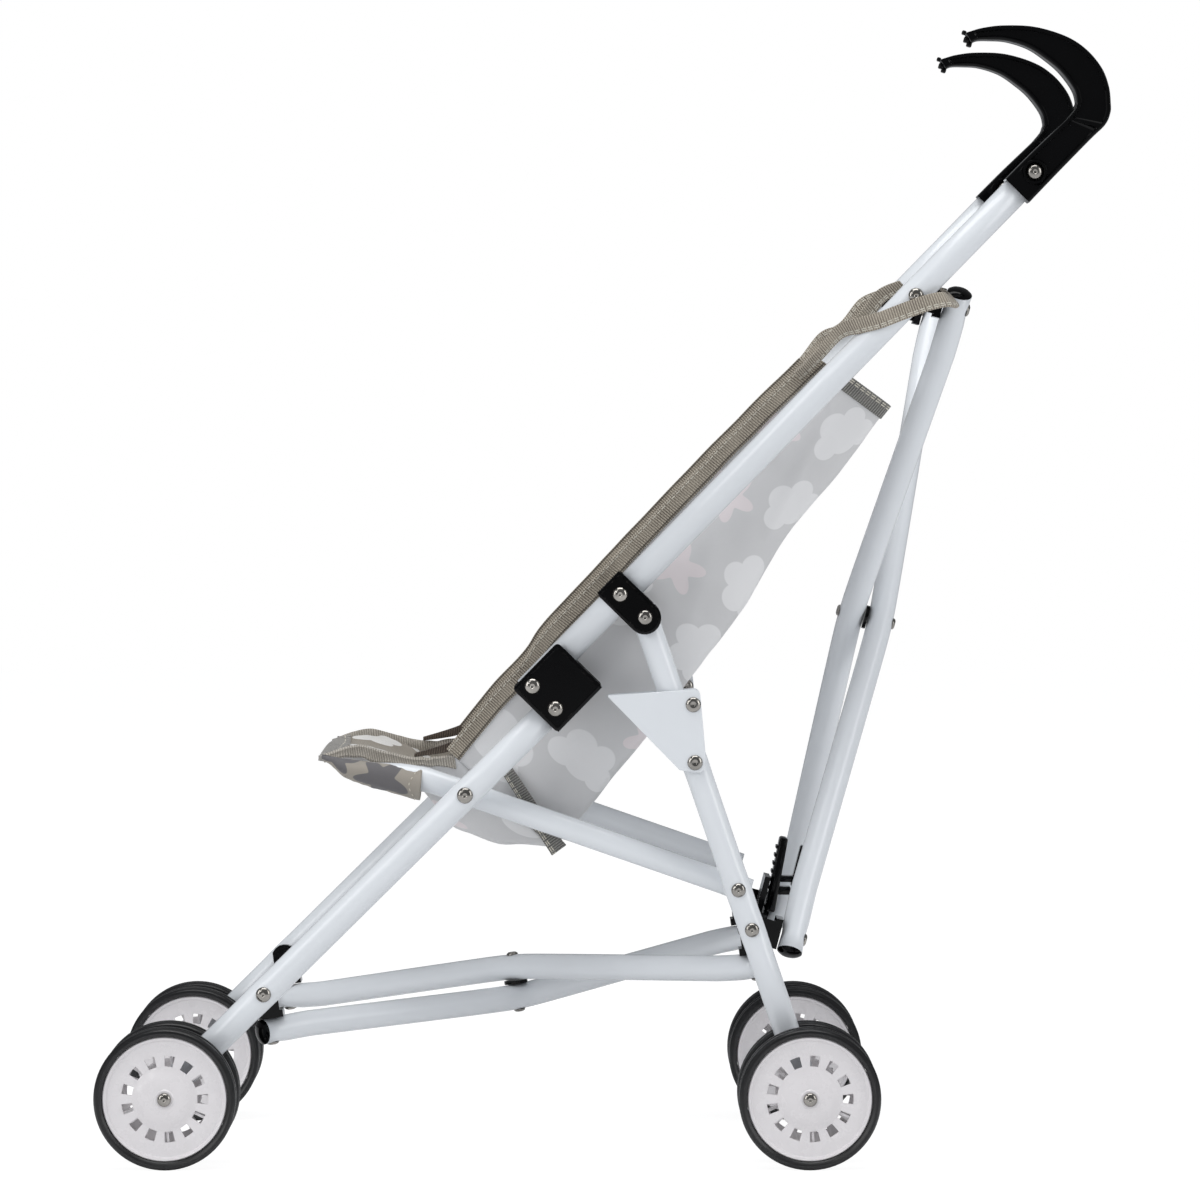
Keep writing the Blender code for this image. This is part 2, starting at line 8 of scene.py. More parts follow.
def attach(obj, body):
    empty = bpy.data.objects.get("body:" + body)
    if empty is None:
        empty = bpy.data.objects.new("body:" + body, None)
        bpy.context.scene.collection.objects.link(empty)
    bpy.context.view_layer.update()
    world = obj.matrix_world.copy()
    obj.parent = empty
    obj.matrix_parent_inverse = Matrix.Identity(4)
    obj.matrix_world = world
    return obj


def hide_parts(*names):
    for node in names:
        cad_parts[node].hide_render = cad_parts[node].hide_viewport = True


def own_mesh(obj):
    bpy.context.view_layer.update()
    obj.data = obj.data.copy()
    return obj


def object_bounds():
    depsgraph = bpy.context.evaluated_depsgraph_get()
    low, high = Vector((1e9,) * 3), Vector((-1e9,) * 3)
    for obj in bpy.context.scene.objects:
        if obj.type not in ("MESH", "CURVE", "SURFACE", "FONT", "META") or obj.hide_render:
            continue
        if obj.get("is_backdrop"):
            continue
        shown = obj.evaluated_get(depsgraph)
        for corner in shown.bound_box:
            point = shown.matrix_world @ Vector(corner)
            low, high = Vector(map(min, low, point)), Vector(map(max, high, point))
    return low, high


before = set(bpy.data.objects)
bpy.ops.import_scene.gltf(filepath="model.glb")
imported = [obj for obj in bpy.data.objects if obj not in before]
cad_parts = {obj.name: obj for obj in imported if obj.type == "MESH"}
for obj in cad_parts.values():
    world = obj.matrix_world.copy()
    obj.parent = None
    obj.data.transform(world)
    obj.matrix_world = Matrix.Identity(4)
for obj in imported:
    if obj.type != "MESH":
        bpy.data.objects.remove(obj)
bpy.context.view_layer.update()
print("frame loaded:", len(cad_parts), "nodes")

# Places in a side frame are (Y, Z) in metres. Left is +X, front is -Y.
places = {"hinge": (-0.0345, 0.2377), "railPivot": (-0.0678, 0.1836), "lugPivot": (0.0210, 0.2715),
          "railEnd": (0.0671, 0.1368), "frontHub": (-0.2152, 0.0350), "rearHub": (0.1020, 0.0350),
          "frontFoot": (-0.2180, 0.0350), "gripRivet": (0.2124, 0.4905), "latchPivot": (0.0456, 0.1999),
          "latchStop": (0.0447, 0.2285), "lowerFront": (-0.1673, 0.0852), "lowerRear": (0.0738, 0.1171),
          "backTop": (0.1542, 0.4298), "lugRivet": (0.00865, 0.2828), "bracketRivet": (-0.0232, 0.2265)}
sideX = 0.107
railX = 0.0913
sides = ((1, "left"), (-1, "right"))


# Materials

def startMaterial(name, colour, roughness, metallic=0.0):
    material = bpy.data.materials.new(name)
    material.use_nodes = True
    tree = material.node_tree
    shader = tree.nodes["Principled BSDF"]
    shader.inputs["Base Color"].default_value = (*colour, 1)
    shader.inputs["Roughness"].default_value = roughness
    shader.inputs["Metallic"].default_value = metallic
    coords = tree.nodes.new("ShaderNodeTexCoord")
    return material, tree, shader, coords


def addNoise(tree, vector, scale, detail=3, rough=0.5):
    node = tree.nodes.new("ShaderNodeTexNoise")
    node.inputs["Scale"].default_value = scale
    node.inputs["Detail"].default_value = detail
    node.inputs["Roughness"].default_value = rough
    tree.links.new(vector, node.inputs["Vector"])
    return node.outputs["Fac"]


def addRamp(tree, value, low, high, outLow, outHigh):
    node = tree.nodes.new("ShaderNodeMapRange")
    node.inputs["From Min"].default_value = low
    node.inputs["From Max"].default_value = high
    node.inputs["To Min"].default_value = outLow
    node.inputs["To Max"].default_value = outHigh
    tree.links.new(value, node.inputs["Value"])
    return node.outputs["Result"]


def addMath(tree, operation, first, second=None, clamp=False):
    node = tree.nodes.new("ShaderNodeMath")
    node.operation = operation
    node.use_clamp = clamp
    for socket, value in zip(node.inputs, (first, second)):
        if value is None:
            continue
        if isinstance(value, (int, float)):
            socket.default_value = value
        else:
            tree.links.new(value, socket)
    return node.outputs[0]


def addMix(tree, factor, first, second):
    node = tree.nodes.new("ShaderNodeMix")
    node.data_type = "RGBA"
    tree.links.new(factor, node.inputs["Factor"])
    for socket, value in ((node.inputs["A"], first), (node.inputs["B"], second)):
        if isinstance(value, tuple):
            socket.default_value = (*value, 1)
        else:
            tree.links.new(value, socket)
    return node.outputs["Result"]


def addBump(tree, shader, height, strength, distance):
    node = tree.nodes.new("ShaderNodeBump")
    node.inputs["Strength"].default_value = strength
    node.inputs["Distance"].default_value = distance
    tree.links.new(height, node.inputs["Height"])
    earlier = shader.inputs["Normal"].links
    if earlier:
        tree.links.new(earlier[0].from_socket, node.inputs["Normal"])
    tree.links.new(node.outputs["Normal"], shader.inputs["Normal"])


def hardFinish(name, colour, roughness, metallic=0.0, grain=900, grainDepth=0.00004, mottle=0.04, coat=0.0,
               scratchy=0.06):
    material, tree, shader, coords = startMaterial(name, colour, roughness, metallic)
    place = coords.outputs["Object"]
    cloudy = addNoise(tree, place, 60, 4)
    dark = tuple(channel * (1 - mottle) for channel in colour)
    tree.links.new(addMix(tree, addRamp(tree, cloudy, 0.35, 0.65, 0, 1), colour, dark),
                   shader.inputs["Base Color"])
    stretched = tree.nodes.new("ShaderNodeMapping")
    stretched.inputs["Scale"].default_value = (1, 0.35, 0.35)
    tree.links.new(place, stretched.inputs["Vector"])
    smear = addNoise(tree, stretched.outputs["Vector"], 260, 5, 0.7)
    tree.links.new(addRamp(tree, smear, 0.3, 0.75, roughness - scratchy * 0.5, roughness + scratchy),
                   shader.inputs["Roughness"])
    addBump(tree, shader, addNoise(tree, place, grain, 2), 0.35, grainDepth)
    shader.inputs["Coat Weight"].default_value = coat
    shader.inputs["Coat Roughness"].default_value = 0.08
    return material


whitePaint = hardFinish("whitePaint", (0.78, 0.81, 0.84), 0.24, grain=700, grainDepth=0.000008,
                        mottle=0.012, coat=0.3, scratchy=0.03)
blackGloss = hardFinish("blackGloss", (0.002, 0.002, 0.0023), 0.09, grain=650, grainDepth=0.000008,
                        mottle=0.2, coat=0.0, scratchy=0.05)
blackGloss.node_tree.nodes["Principled BSDF"].inputs["Specular IOR Level"].default_value = 0.2
wheelWhite = hardFinish("wheelWhite", (0.80, 0.775, 0.785), 0.26, grain=1500, grainDepth=0.00002,
                        mottle=0.03, coat=0.2)
tyreBlack = hardFinish("tyreBlack", (0.008, 0.008, 0.009), 0.34, grain=1800, grainDepth=0.00006,
                       mottle=0.25)
steelBright = hardFinish("steelBright", (0.44, 0.42, 0.39), 0.15, 1.0, grain=900, grainDepth=0.00004,
                         mottle=0.35, scratchy=0.14)


def addMotifs(tree, uv, cell, seedShift):
    # clouds and soft stars scattered one to a cell: returns (cloud mask, star mask)
    shifted = tree.nodes.new("ShaderNodeMapping")
    shifted.inputs["Location"].default_value = seedShift
    shifted.inputs["Scale"].default_value = (1.12, 1.12, 1)
    tree.links.new(uv, shifted.inputs["Vector"])
    cells = tree.nodes.new("ShaderNodeTexVoronoi")
    cells.voronoi_dimensions = "2D"
    cells.inputs["Scale"].default_value = 1 / cell
    cells.inputs["Randomness"].default_value = 0.55
    tree.links.new(shifted.outputs["Vector"], cells.inputs["Vector"])
    local = tree.nodes.new("ShaderNodeVectorMath")
    local.operation = "SUBTRACT"
    tree.links.new(shifted.outputs["Vector"], local.inputs[0])
    tree.links.new(cells.outputs["Position"], local.inputs[1])
    pick = tree.nodes.new("ShaderNodeSeparateColor")
    tree.links.new(cells.outputs["Color"], pick.inputs["Color"])
    turned = tree.nodes.new("ShaderNodeVectorRotate")
    turned.rotation_type = "Z_AXIS"
    tree.links.new(local.outputs["Vector"], turned.inputs["Vector"])
    tree.links.new(addMath(tree, "MULTIPLY", pick.outputs["Green"], 6.28), turned.inputs["Angle"])
    spot = turned.outputs["Vector"]
    cloud = None
    for x, y, radius in ((0, -0.001, 0.0098), (-0.0105, -0.0035, 0.0072), (0.0108, -0.0030, 0.0076),
                         (-0.0056, 0.0062, 0.0078), (0.0066, 0.0072, 0.0070)):
        gap = tree.nodes.new("ShaderNodeVectorMath")
        gap.operation = "DISTANCE"
        tree.links.new(spot, gap.inputs[0])
        gap.inputs[1].default_value = (x, y, 0)
        inside = addMath(tree, "SUBTRACT", gap.outputs["Value"], radius)
        cloud = inside if cloud is None else addMath(tree, "MINIMUM", cloud, inside)
    cloudMask = addRamp(tree, cloud, -0.0003, 0.0003, 1, 0)
    split = tree.nodes.new("ShaderNodeSeparateXYZ")
    tree.links.new(spot, split.inputs[0])
    angle = addMath(tree, "ARCTAN2", split.outputs["Y"], split.outputs["X"])
    wave = addMath(tree, "COSINE", addMath(tree, "MULTIPLY", angle, 5))
    reach = addRamp(tree, wave, -1, 1, 0.0075, 0.0150)
    length = tree.nodes.new("ShaderNodeVectorMath")
    length.operation = "LENGTH"
    tree.links.new(spot, length.inputs[0])
    starEdge = addMath(tree, "SUBTRACT", length.outputs["Value"], reach)
    starMask = addRamp(tree, starEdge, -0.0003, 0.0003, 1, 0)
    isStar = addMath(tree, "GREATER_THAN", pick.outputs["Red"], 0.52)
    isCloud = addMath(tree, "SUBTRACT", 1, isStar)
    return addMath(tree, "MULTIPLY", cloudMask, isCloud), addMath(tree, "MULTIPLY", starMask, isStar)


def addWeave(tree, shader, uv, pitch, depth):
    split = tree.nodes.new("ShaderNodeSeparateXYZ")
    tree.links.new(uv, split.inputs[0])
    warp = addMath(tree, "SINE", addMath(tree, "MULTIPLY", split.outputs["X"], 2 * math.pi / pitch))
    weft = addMath(tree, "SINE", addMath(tree, "MULTIPLY", split.outputs["Y"], 2 * math.pi / pitch))
    woven = addMath(tree, "MULTIPLY", warp, weft)
    addBump(tree, shader, woven, 0.5, depth)
    return woven


def printedCloth(name, ground, cloudColour, starColour, cell, shift, roughness):
    material, tree, shader, coords = startMaterial(name, ground, roughness)
    uv = coords.outputs["UV"]
    cloud, star = addMotifs(tree, uv, cell, shift)
    woven = addWeave(tree, shader, uv, 0.0007, 0.00005)
    shade = addRamp(tree, woven, -1, 1, 0.0, 0.35)
    dusk = tuple(channel * 0.86 for channel in ground)
    base = addMix(tree, shade, ground, dusk)
    base = addMix(tree, addRamp(tree, addNoise(tree, uv, 30, 3), 0.35, 0.7, 0, 0.35), base, dusk)
    base = addMix(tree, cloud, base, cloudColour)
    base = addMix(tree, star, base, starColour)
    tree.links.new(base, shader.inputs["Base Color"])
    addBump(tree, shader, addNoise(tree, uv, 140, 4), 0.3, 0.0004)
    shader.inputs["Sheen Weight"].default_value = 0.15
    return material


clothInside = printedCloth("clothInside", (0.335, 0.305, 0.262), (0.78, 0.77, 0.75), (0.13, 0.125, 0.13),
                           0.044, (0.013, 0.021, 0), 0.75)
clothOutside = printedCloth("clothOutside", (0.68, 0.68, 0.685), (0.81, 0.81, 0.815), (0.79, 0.735, 0.745),
                            0.047, (0.33, 0.26, 0), 0.62)


def webbing(name, colour, grooveShade, stitchAt, shadedLineAt, width):
    # ribs across the strap with painted shade in the grooves between them, a sunken line along it darkened
    # as painted shade, and lines of stitches along it, from the strap's own UV in metres
    material, tree, shader, coords = startMaterial(name, colour, 0.7)
    uv = coords.outputs["UV"]
    split = tree.nodes.new("ShaderNodeSeparateXYZ")
    tree.links.new(uv, split.inputs[0])
    along, over = split.outputs["X"], split.outputs["Y"]
    rib = addMath(tree, "SINE", addMath(tree, "MULTIPLY", along, 2 * math.pi / 0.00125))
    twill = addMath(tree, "SINE", addMath(tree, "MULTIPLY", addMath(tree, "ADD", along, over),
                                          2 * math.pi / 0.0021))
    # painted shade: the grooves between the ribs, and the twill's grooves below, are mixed towards the
    # darker colour
    cut = addRamp(tree, rib, -0.9, 0.5, 1, 0)
    base = addMix(tree, cut, colour, grooveShade)
    base = addMix(tree, addRamp(tree, twill, 0.2, 1, 0, 0.3), base, grooveShade)
    base = addMix(tree, addRamp(tree, addNoise(tree, uv, 60, 4), 0.4, 0.7, 0, 0.4), base,
                  tuple(channel * 1.18 for channel in colour))
    relief = addMath(tree, "MULTIPLY", rib, 0.6)
    for place in stitchAt:
        off = addMath(tree, "ABSOLUTE", addMath(tree, "SUBTRACT", over, place * width))
        line = addRamp(tree, off, 0.00022, 0.00034, 1, 0)
        dash = addMath(tree, "SINE", addMath(tree, "MULTIPLY", along, 2 * math.pi / 0.0034))
        thread = addMath(tree, "MULTIPLY", line, addRamp(tree, dash, -0.75, -0.55, 0, 1))
        base = addMix(tree, thread, base, (0.72, 0.68, 0.58))
        relief = addMath(tree, "ADD", relief, addMath(tree, "MULTIPLY", thread, 1.6))
    # painted shade: a sunken line along the strap, darkened almost to black
    for place in shadedLineAt:
        off = addMath(tree, "ABSOLUTE", addMath(tree, "SUBTRACT", over, place * width))
        line = addMath(tree, "MULTIPLY", addRamp(tree, off, 0.0003, 0.00055, 1, 0), 0.8)
        base = addMix(tree, line, base, tuple(channel * 0.4 for channel in grooveShade))
        relief = addMath(tree, "SUBTRACT", relief, line)
    tree.links.new(base, shader.inputs["Base Color"])
    addBump(tree, shader, relief, 0.85, 0.00032)
    shader.inputs["Sheen Weight"].default_value = 0.2
    return material


# each strap's second colour is the painted shade in its grooves
edgeWebbing = webbing("edgeWebbing", (0.47, 0.42, 0.34), (0.13, 0.105, 0.08), (0.86,), (0.10,), 0.0085)
loopWebbing = webbing("loopWebbing", (0.48, 0.43, 0.35), (0.14, 0.115, 0.09), (0.14, 0.26), (), 0.0080)
darkWebbing = webbing("darkWebbing", (0.115, 0.085, 0.062), (0.035, 0.026, 0.02), (), (), 0.0050)
pipingCloth = webbing("pipingCloth", (0.50, 0.465, 0.41), (0.26, 0.235, 0.20), (), (), 0.0058)
greyTape = webbing("greyTape", (0.26, 0.255, 0.235), (0.075, 0.073, 0.07), (0.14, 0.28), (), 0.0083)
hemTape = webbing("hemTape", (0.40, 0.385, 0.36), (0.21, 0.20, 0.185), (0.70,), (), 0.0100)
threadLight = hardFinish("threadLight", (0.62, 0.58, 0.50), 0.7, grain=2500, grainDepth=0.00003, mottle=0.1)
print("materials made")


# Helpers for shapes

def lineTo(start, end):
    return Vector((end[0] - start[0], end[1] - start[1])).normalized()


def placeOn(x, place, line):
    zAxis = Vector((0, line[0], line[1]))
    xAxis = Vector((1, 0, 0))
    turn = Matrix((xAxis, zAxis.cross(xAxis), zAxis)).transposed().to_4x4()
    return Matrix.Translation((x, place[0], place[1])) @ turn


def crossPlace(x, place):
    return Matrix.Translation((x, place[0], place[1])) @ Matrix.Rotation(math.pi / 2, 4, "Y")


def finishPiece(name, bm, material, body, nodes=(), angle=35, matrix=None, closed=True):
    if matrix is not None:
        bmesh.ops.transform(bm, matrix=matrix, verts=bm.verts)
    if closed:
        bmesh.ops.remove_doubles(bm, verts=bm.verts, dist=0.000005)
        bmesh.ops.recalc_face_normals(bm, faces=bm.faces)
    mesh = bpy.data.meshes.new(name)
    bm.to_mesh(mesh)
    bm.free()
    mesh.shade_smooth()
    mesh.set_sharp_from_angle(angle=math.radians(angle))
    piece = bpy.data.objects.new(name, mesh)
    bpy.context.scene.collection.objects.link(piece)
    for finish in material if isinstance(material, tuple) else (material,):
        mesh.materials.append(finish)
    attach(piece, body)
    if nodes:
        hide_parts(*nodes)
    return piece


def spunShape(bm, profile, steps=32, closedRing=False):
    # profile is (radius, height) about local Z
    points = [bm.verts.new((radius, 0, height)) for radius, height in profile]
    pairs = list(zip(points, points[1:])) + ([(points[-1], points[0])] if closedRing else [])
    edges = [bm.edges.new(pair) for pair in pairs]
    bmesh.ops.spin(bm, geom=points + edges, cent=(0, 0, 0), axis=(0, 0, 1), dvec=(0, 0, 0),
                   angle=2 * math.pi, steps=steps, use_merge=True, use_normal_flip=False,
                   use_duplicate=False)


def joinInto(bm, part, matrix):
    bmesh.ops.transform(part, matrix=matrix, verts=part.verts)
    bmesh.ops.remove_doubles(part, verts=part.verts, dist=0.000005)
    bmesh.ops.recalc_face_normals(part, faces=part.faces)
    mesh = bpy.data.meshes.new("joining")
    part.to_mesh(mesh)
    part.free()
    bm.from_mesh(mesh)
    bpy.data.meshes.remove(mesh)


def addRivet(bm, x, place, facing, radius=0.0039, height=0.0017):
    # domed head with a small dimple, standing on a face at x
    part = bmesh.new()
    spunShape(part, [(0, height * 0.78), (radius * 0.22, height * 0.80), (radius * 0.32, height),
                     (radius * 0.62, height * 0.90), (radius * 0.86, height * 0.60),
                     (radius, height * 0.22), (radius * 0.99, 0), (0, 0)], steps=20)
    turn = Matrix.Rotation(math.pi / 2 * facing, 4, "Y")
    joinInto(bm, part, Matrix.Translation((x, place[0], place[1])) @ turn)


def addRod(bm, radius, start, end, place, steps=20):
    part = bmesh.new()
    bmesh.ops.create_cone(part, cap_ends=True, segments=steps, radius1=radius, radius2=radius,
                          depth=end - start)
    joinInto(bm, part, crossPlace((start + end) / 2, place))


def bevelAll(bm, width, segments=3, angle=30):
    edges = [edge for edge in bm.edges if len(edge.link_faces) == 2
             and edge.calc_face_angle(0) > math.radians(angle)]
    bmesh.ops.bevel(bm, geom=edges, offset=width, offset_type="OFFSET", segments=segments, profile=0.5,
                    affect="EDGES", material=-1, clamp_overlap=True)


def plateFrom(outline, low, high):
    # closed plate from an outline in local Y and Z, between two local X
    bm = bmesh.new()
    face = bm.faces.new([bm.verts.new((low, y, z)) for y, z in outline])
    found = bmesh.ops.extrude_face_region(bm, geom=[face])
    moved = [item for item in found["geom"] if isinstance(item, bmesh.types.BMVert)]
    bmesh.ops.translate(bm, vec=(high - low, 0, 0), verts=moved)
    bmesh.ops.recalc_face_normals(bm, faces=bm.faces)
    return bm


def arcPoints(centre, radius, start, end, count):
    found = []
    for step in range(count + 1):
        angle = math.radians(start + (end - start) * step / count)
        found.append((centre[0] + radius * math.cos(angle), centre[1] + radius * math.sin(angle)))
    return found


handleLine = lineTo(places["hinge"], places["gripRivet"])
frontLine = lineTo(places["frontFoot"], places["railPivot"])
rearLine = lineTo(places["lugPivot"], places["rearHub"])
railLine = lineTo(places["railPivot"], places["railEnd"])


def onLine(start, line, distance):
    return (start[0] + line[0] * distance, start[1] + line[1] * distance)


def splineAt(points, index, t):
    # a place on the smooth curve between point index and the next one, t from 0 to 1
    p0, p1 = Vector(points[max(0, index - 1)]), Vector(points[index])
    p2, p3 = Vector(points[index + 1]), Vector(points[min(len(points) - 1, index + 2)])
    return 0.5 * ((2 * p1) + (p2 - p0) * t + (2 * p0 - 5 * p1 + 4 * p2 - p3) * t * t
                  + (3 * p1 - p0 - 3 * p2 + p3) * t * t * t)


def smoothRun(points, count):
    # the same number of steps between each two points, on a smooth curve through them all
    run = []
    for step in range(count + 1):
        at = step / count * (len(points) - 1)
        index = min(len(points) - 2, int(at))
        run.append(splineAt(points, index, at - index))
    return run


def ease(low, high, value):
    # 0 below low, 1 above high, and a soft step between
    share = min(1, max(0, (value - low) / (high - low)))
    return share * share * (3 - 2 * share)


def distanceOn(start, line, place):
    return (place[0] - start[0]) * line[0] + (place[1] - start[1]) * line[1]


# Straight tubes, pressed a little flat round each rivet

tubeSizes = {"mainRadius": 0.0070, "rearRadius": 0.0065, "railRadius": 0.0060, "wall": 0.0010, "sides": 40,
             "pressed": 0.90, "pressedReach": 0.011}


railFront = {"from": -0.0840, "fall": 0.235, "soft": 0.0060, "flatFrom": -0.1000, "flatTo": -0.1250,
             "flat": 0.62, "cuts": (-0.086, -0.089, -0.092, -0.096, -0.100, -0.105, -0.110, -0.115, -0.120)}


def railDrop(y):
    # how far the rail's front end bends down below its straight line
    run = max(0, railFront["from"] - y)
    return railFront["fall"] * run * run / (run + railFront["soft"])


def straightTube(name, x, start, end, radius, rivets, body):
    line = lineTo(start, end)
    length = math.dist(start, end)
    bm = bmesh.new()
    bmesh.ops.create_cone(bm, cap_ends=False, segments=tubeSizes["sides"], radius1=radius, radius2=radius,
                          depth=length)
    bmesh.ops.translate(bm, vec=(0, 0, length / 2), verts=bm.verts)
    reach = tubeSizes["pressedReach"]
    for rivet in rivets:
        middle = distanceOn(start, line, rivet)
        for share in (-1, -0.66, -0.33, 0, 0.33, 0.66, 1):
            at = middle + reach * share
            if 0.0002 < at < length - 0.0002:
                bmesh.ops.bisect_plane(bm, geom=bm.verts[:] + bm.edges[:] + bm.faces[:],
                                       plane_co=(0, 0, at), plane_no=(0, 0, 1), dist=0.00001)
        for vert in bm.verts:
            share = min(1, abs(vert.co.z - middle) / reach)
            press = 1 - (1 - tubeSizes["pressed"]) * (0.5 + 0.5 * math.cos(math.pi * share))
            vert.co.x *= press
            vert.co.y *= 1 + (1 - press) * 0.25
    bmesh.ops.transform(bm, matrix=placeOn(x, start, line), verts=bm.verts)
    if "rail" in name:
        for at in railFront["cuts"]:
            bmesh.ops.bisect_plane(bm, geom=bm.verts[:] + bm.edges[:] + bm.faces[:], plane_co=(0, at, 0),
                                   plane_no=(0, 1, 0), dist=0.00001)
        for vert in bm.verts:
            axis = places["railPivot"][1] + (vert.co.y - places["railPivot"][0]) * line[1] / line[0]
            press = (railFront["flatFrom"] - vert.co.y) / (railFront["flatFrom"] - railFront["flatTo"])
            keep = 1 - (1 - railFront["flat"]) * min(1, max(0, press))
            vert.co.z = axis - railDrop(vert.co.y) + (vert.co.z - axis) * keep
    piece = finishPiece(name + "Paint", bm, whitePaint, body, [name], 60, closed=True)
    wall = piece.modifiers.new("wall", "SOLIDIFY")
    wall.thickness = tubeSizes["wall"]
    wall.offset = -1
    return piece


for side, tag in sides:
    x = side * sideX
    straightTube("front_leg_" + tag, x, onLine(places["frontFoot"], frontLine, -0.0045),
                 onLine(places["railPivot"], frontLine, 0.0800), tubeSizes["mainRadius"],
                 [places["lowerFront"], places["railPivot"]], tag + "_front")
    straightTube("handle_tube_" + tag, x, onLine(places["hinge"], handleLine, -0.0035),
                 onLine(places["hinge"], handleLine, 0.3770), tubeSizes["mainRadius"],
                 [places["backTop"]], tag + "_handle")
    straightTube("rear_leg_" + tag, x, onLine(places["lugPivot"], rearLine, -0.0050),
                 onLine(places["rearHub"], rearLine, 0.0060), tubeSizes["rearRadius"],
                 [places["lugPivot"], places["latchPivot"], places["railEnd"], places["lowerRear"]],
                 tag + "_rear")
    straightTube("seat_rail_" + tag, side * railX, onLine(places["railPivot"], railLine, -0.0600),
                 onLine(places["railEnd"], railLine, 0.0065), tubeSizes["railRadius"],
                 [places["railPivot"], places["railEnd"]], tag + "_rail")
print("tubes made")


# Crossed braces: each tube bows round the other

braceSizes = {"endX": 0.091, "radius": 0.0065, "bow": 0.00765, "lowerDrop": 0.0200, "backDrop": 0.0215,
              "lowerTail": 0.0050, "backTail": 0.0080, "sides": 28, "rings": 44, "bowReach": 0.86,
              "bowSoft": 0.06, "bowSpan": 0.802, "pressReach": 0.07, "pressed": 0.12}


def braceTube(name, low, high, drop, tail, xEnd, bow, body):
    line = lineTo(low, high)
    normal = Vector((line[1], -line[0]))
    half = math.dist(low, high) / 2
    middle = ((low[0] + high[0]) / 2 + normal[0] * drop, (low[1] + high[1]) / 2 + normal[1] * drop)
    reach = 1 + tail / math.hypot(half, xEnd)
    bm = bmesh.new()
    rings = braceSizes["rings"]
    bmesh.ops.create_cone(bm, cap_ends=False, segments=braceSizes["sides"], radius1=braceSizes["radius"],
                          radius2=braceSizes["radius"], depth=2 * reach)
    for step in range(1, rings):
        at = -reach + 2 * reach * step / rings
        bmesh.ops.bisect_plane(bm, geom=bm.verts[:] + bm.edges[:] + bm.faces[:], plane_co=(0, 0, at),
                               plane_no=(0, 0, 1), dist=0.00001)
    forward = Vector((xEnd, line[0] * half, line[1] * half)).normalized()
    outward = Vector((0, normal[0], normal[1]))
    sideways = forward.cross(outward)
    for vert in bm.verts:
        share = vert.co.z
        across = abs(share)
        far = math.hypot(braceSizes["bowReach"], braceSizes["bowSoft"])
        lift = bow * (far - min(far, math.hypot(across, braceSizes["bowSoft"]))) / braceSizes["bowSpan"]
        end = max(0, 1 - abs(across - 1) / braceSizes["pressReach"])
        flat = 1 - braceSizes["pressed"] * end * end
        centre = Vector((xEnd * share, middle[0] + line[0] * half * share,
                         middle[1] + line[1] * half * share))
        spread = 1 + (1 - flat) * 0.3
        vert.co = centre + outward * (lift + vert.co.y * flat) + sideways * (vert.co.x * spread)
    piece = finishPiece(name + "Paint", bm, whitePaint, body, [name], 60)
    wall = piece.modifiers.new("wall", "SOLIDIFY")
    wall.thickness = tubeSizes["wall"]
    wall.offset = -1
    # black plugs in both ends, and a rivet through each knuckle and at the middle
    plugs = bmesh.new()
    heads = bmesh.new()
    for sign in (-1, 1):
        centre = Vector((xEnd, middle[0] + line[0] * half - middle[0], line[1] * half)) * reach * sign
        centre += Vector((0, middle[0], middle[1]))
        zAxis = forward * sign
        turn = Matrix((sideways, zAxis.cross(sideways), zAxis)).transposed().to_4x4()
        part = bmesh.new()
        radius = braceSizes["radius"]
        spunShape(part, [(0, 0.0022), (radius * 0.45, 0.0019), (radius * 0.8, 0.0011),
                         (radius * 0.97, 0.0002), (radius * 0.97, -0.0001), (radius * 0.80, -0.0002),
                         (radius * 0.80, -0.005), (0, -0.005)], steps=24)
        joinInto(plugs, part, Matrix.Translation(centre) @ turn)
        joint = Vector((xEnd * sign, middle[0] + line[0] * half * sign, middle[1] + line[1] * half * sign))
        part = bmesh.new()
        spunShape(part, [(0, 0.0013), (0.0018, 0.0012), (0.0029, 0.0007), (0.0032, 0.0), (0, 0.0)],
                  steps=18)
        flatZ = outward
        turn = Matrix((sideways, flatZ.cross(sideways), flatZ)).transposed().to_4x4()
        joinInto(heads, part, Matrix.Translation(joint + outward * radius * 0.90) @ turn)
    part = bmesh.new()
    flatZ = outward * (1 if bow > 0 else -1)
    spunShape(part, [(0, 0.0014), (0.0018, 0.0013), (0.0027, 0.0008), (0.0030, 0.0), (0, 0.0)], steps=18)
    turn = Matrix((forward, flatZ.cross(forward), flatZ)).transposed().to_4x4()
    joinInto(heads, part, Matrix.Translation(Vector((0, *middle)) + flatZ * (abs(bow) + 0.0064)) @ turn)
    finishPiece(name + "Plugs", plugs, blackGloss, body, angle=50)
    finishPiece(name + "Rivets", heads, steelBright, body, angle=50)


for kind, low, high in (("lower", "lowerFront", "lowerRear"), ("back", "lowerRear", "backTop")):
    for letter, sign in (("a", 1), ("b", -1)):
        name = f"{kind}_brace_{letter}"
        braceTube(name, places[low], places[high], braceSizes[kind + "Drop"], braceSizes[kind + "Tail"],
                  -braceSizes["endX"] * sign, braceSizes["bow"] * sign, name)
print("braces made")


# Wheels: a windowed disc with a domed middle, in a ribbed tyre

wheelSizes = {"offset": 0.016, "windows": 13, "stepsPerWindow": 8, "gapSteps": 4, "gapFrom": 0.0163,
              "gapTo": 0.0213, "wall": 0.0011, "spokes": 6, "spoke": (0.0250, 0.0012, 0.0062),
              "spokeAt": (0.0180, 0, -0.0012), "treadSteps": 88}
axleSizes = {"radius": 0.0020, "inner": 0.0833, "outer": 0.1307, "headInner": 0.0840, "headOuter": 0.1300,
             "head": 0.0034, "headHeight": 0.0016}


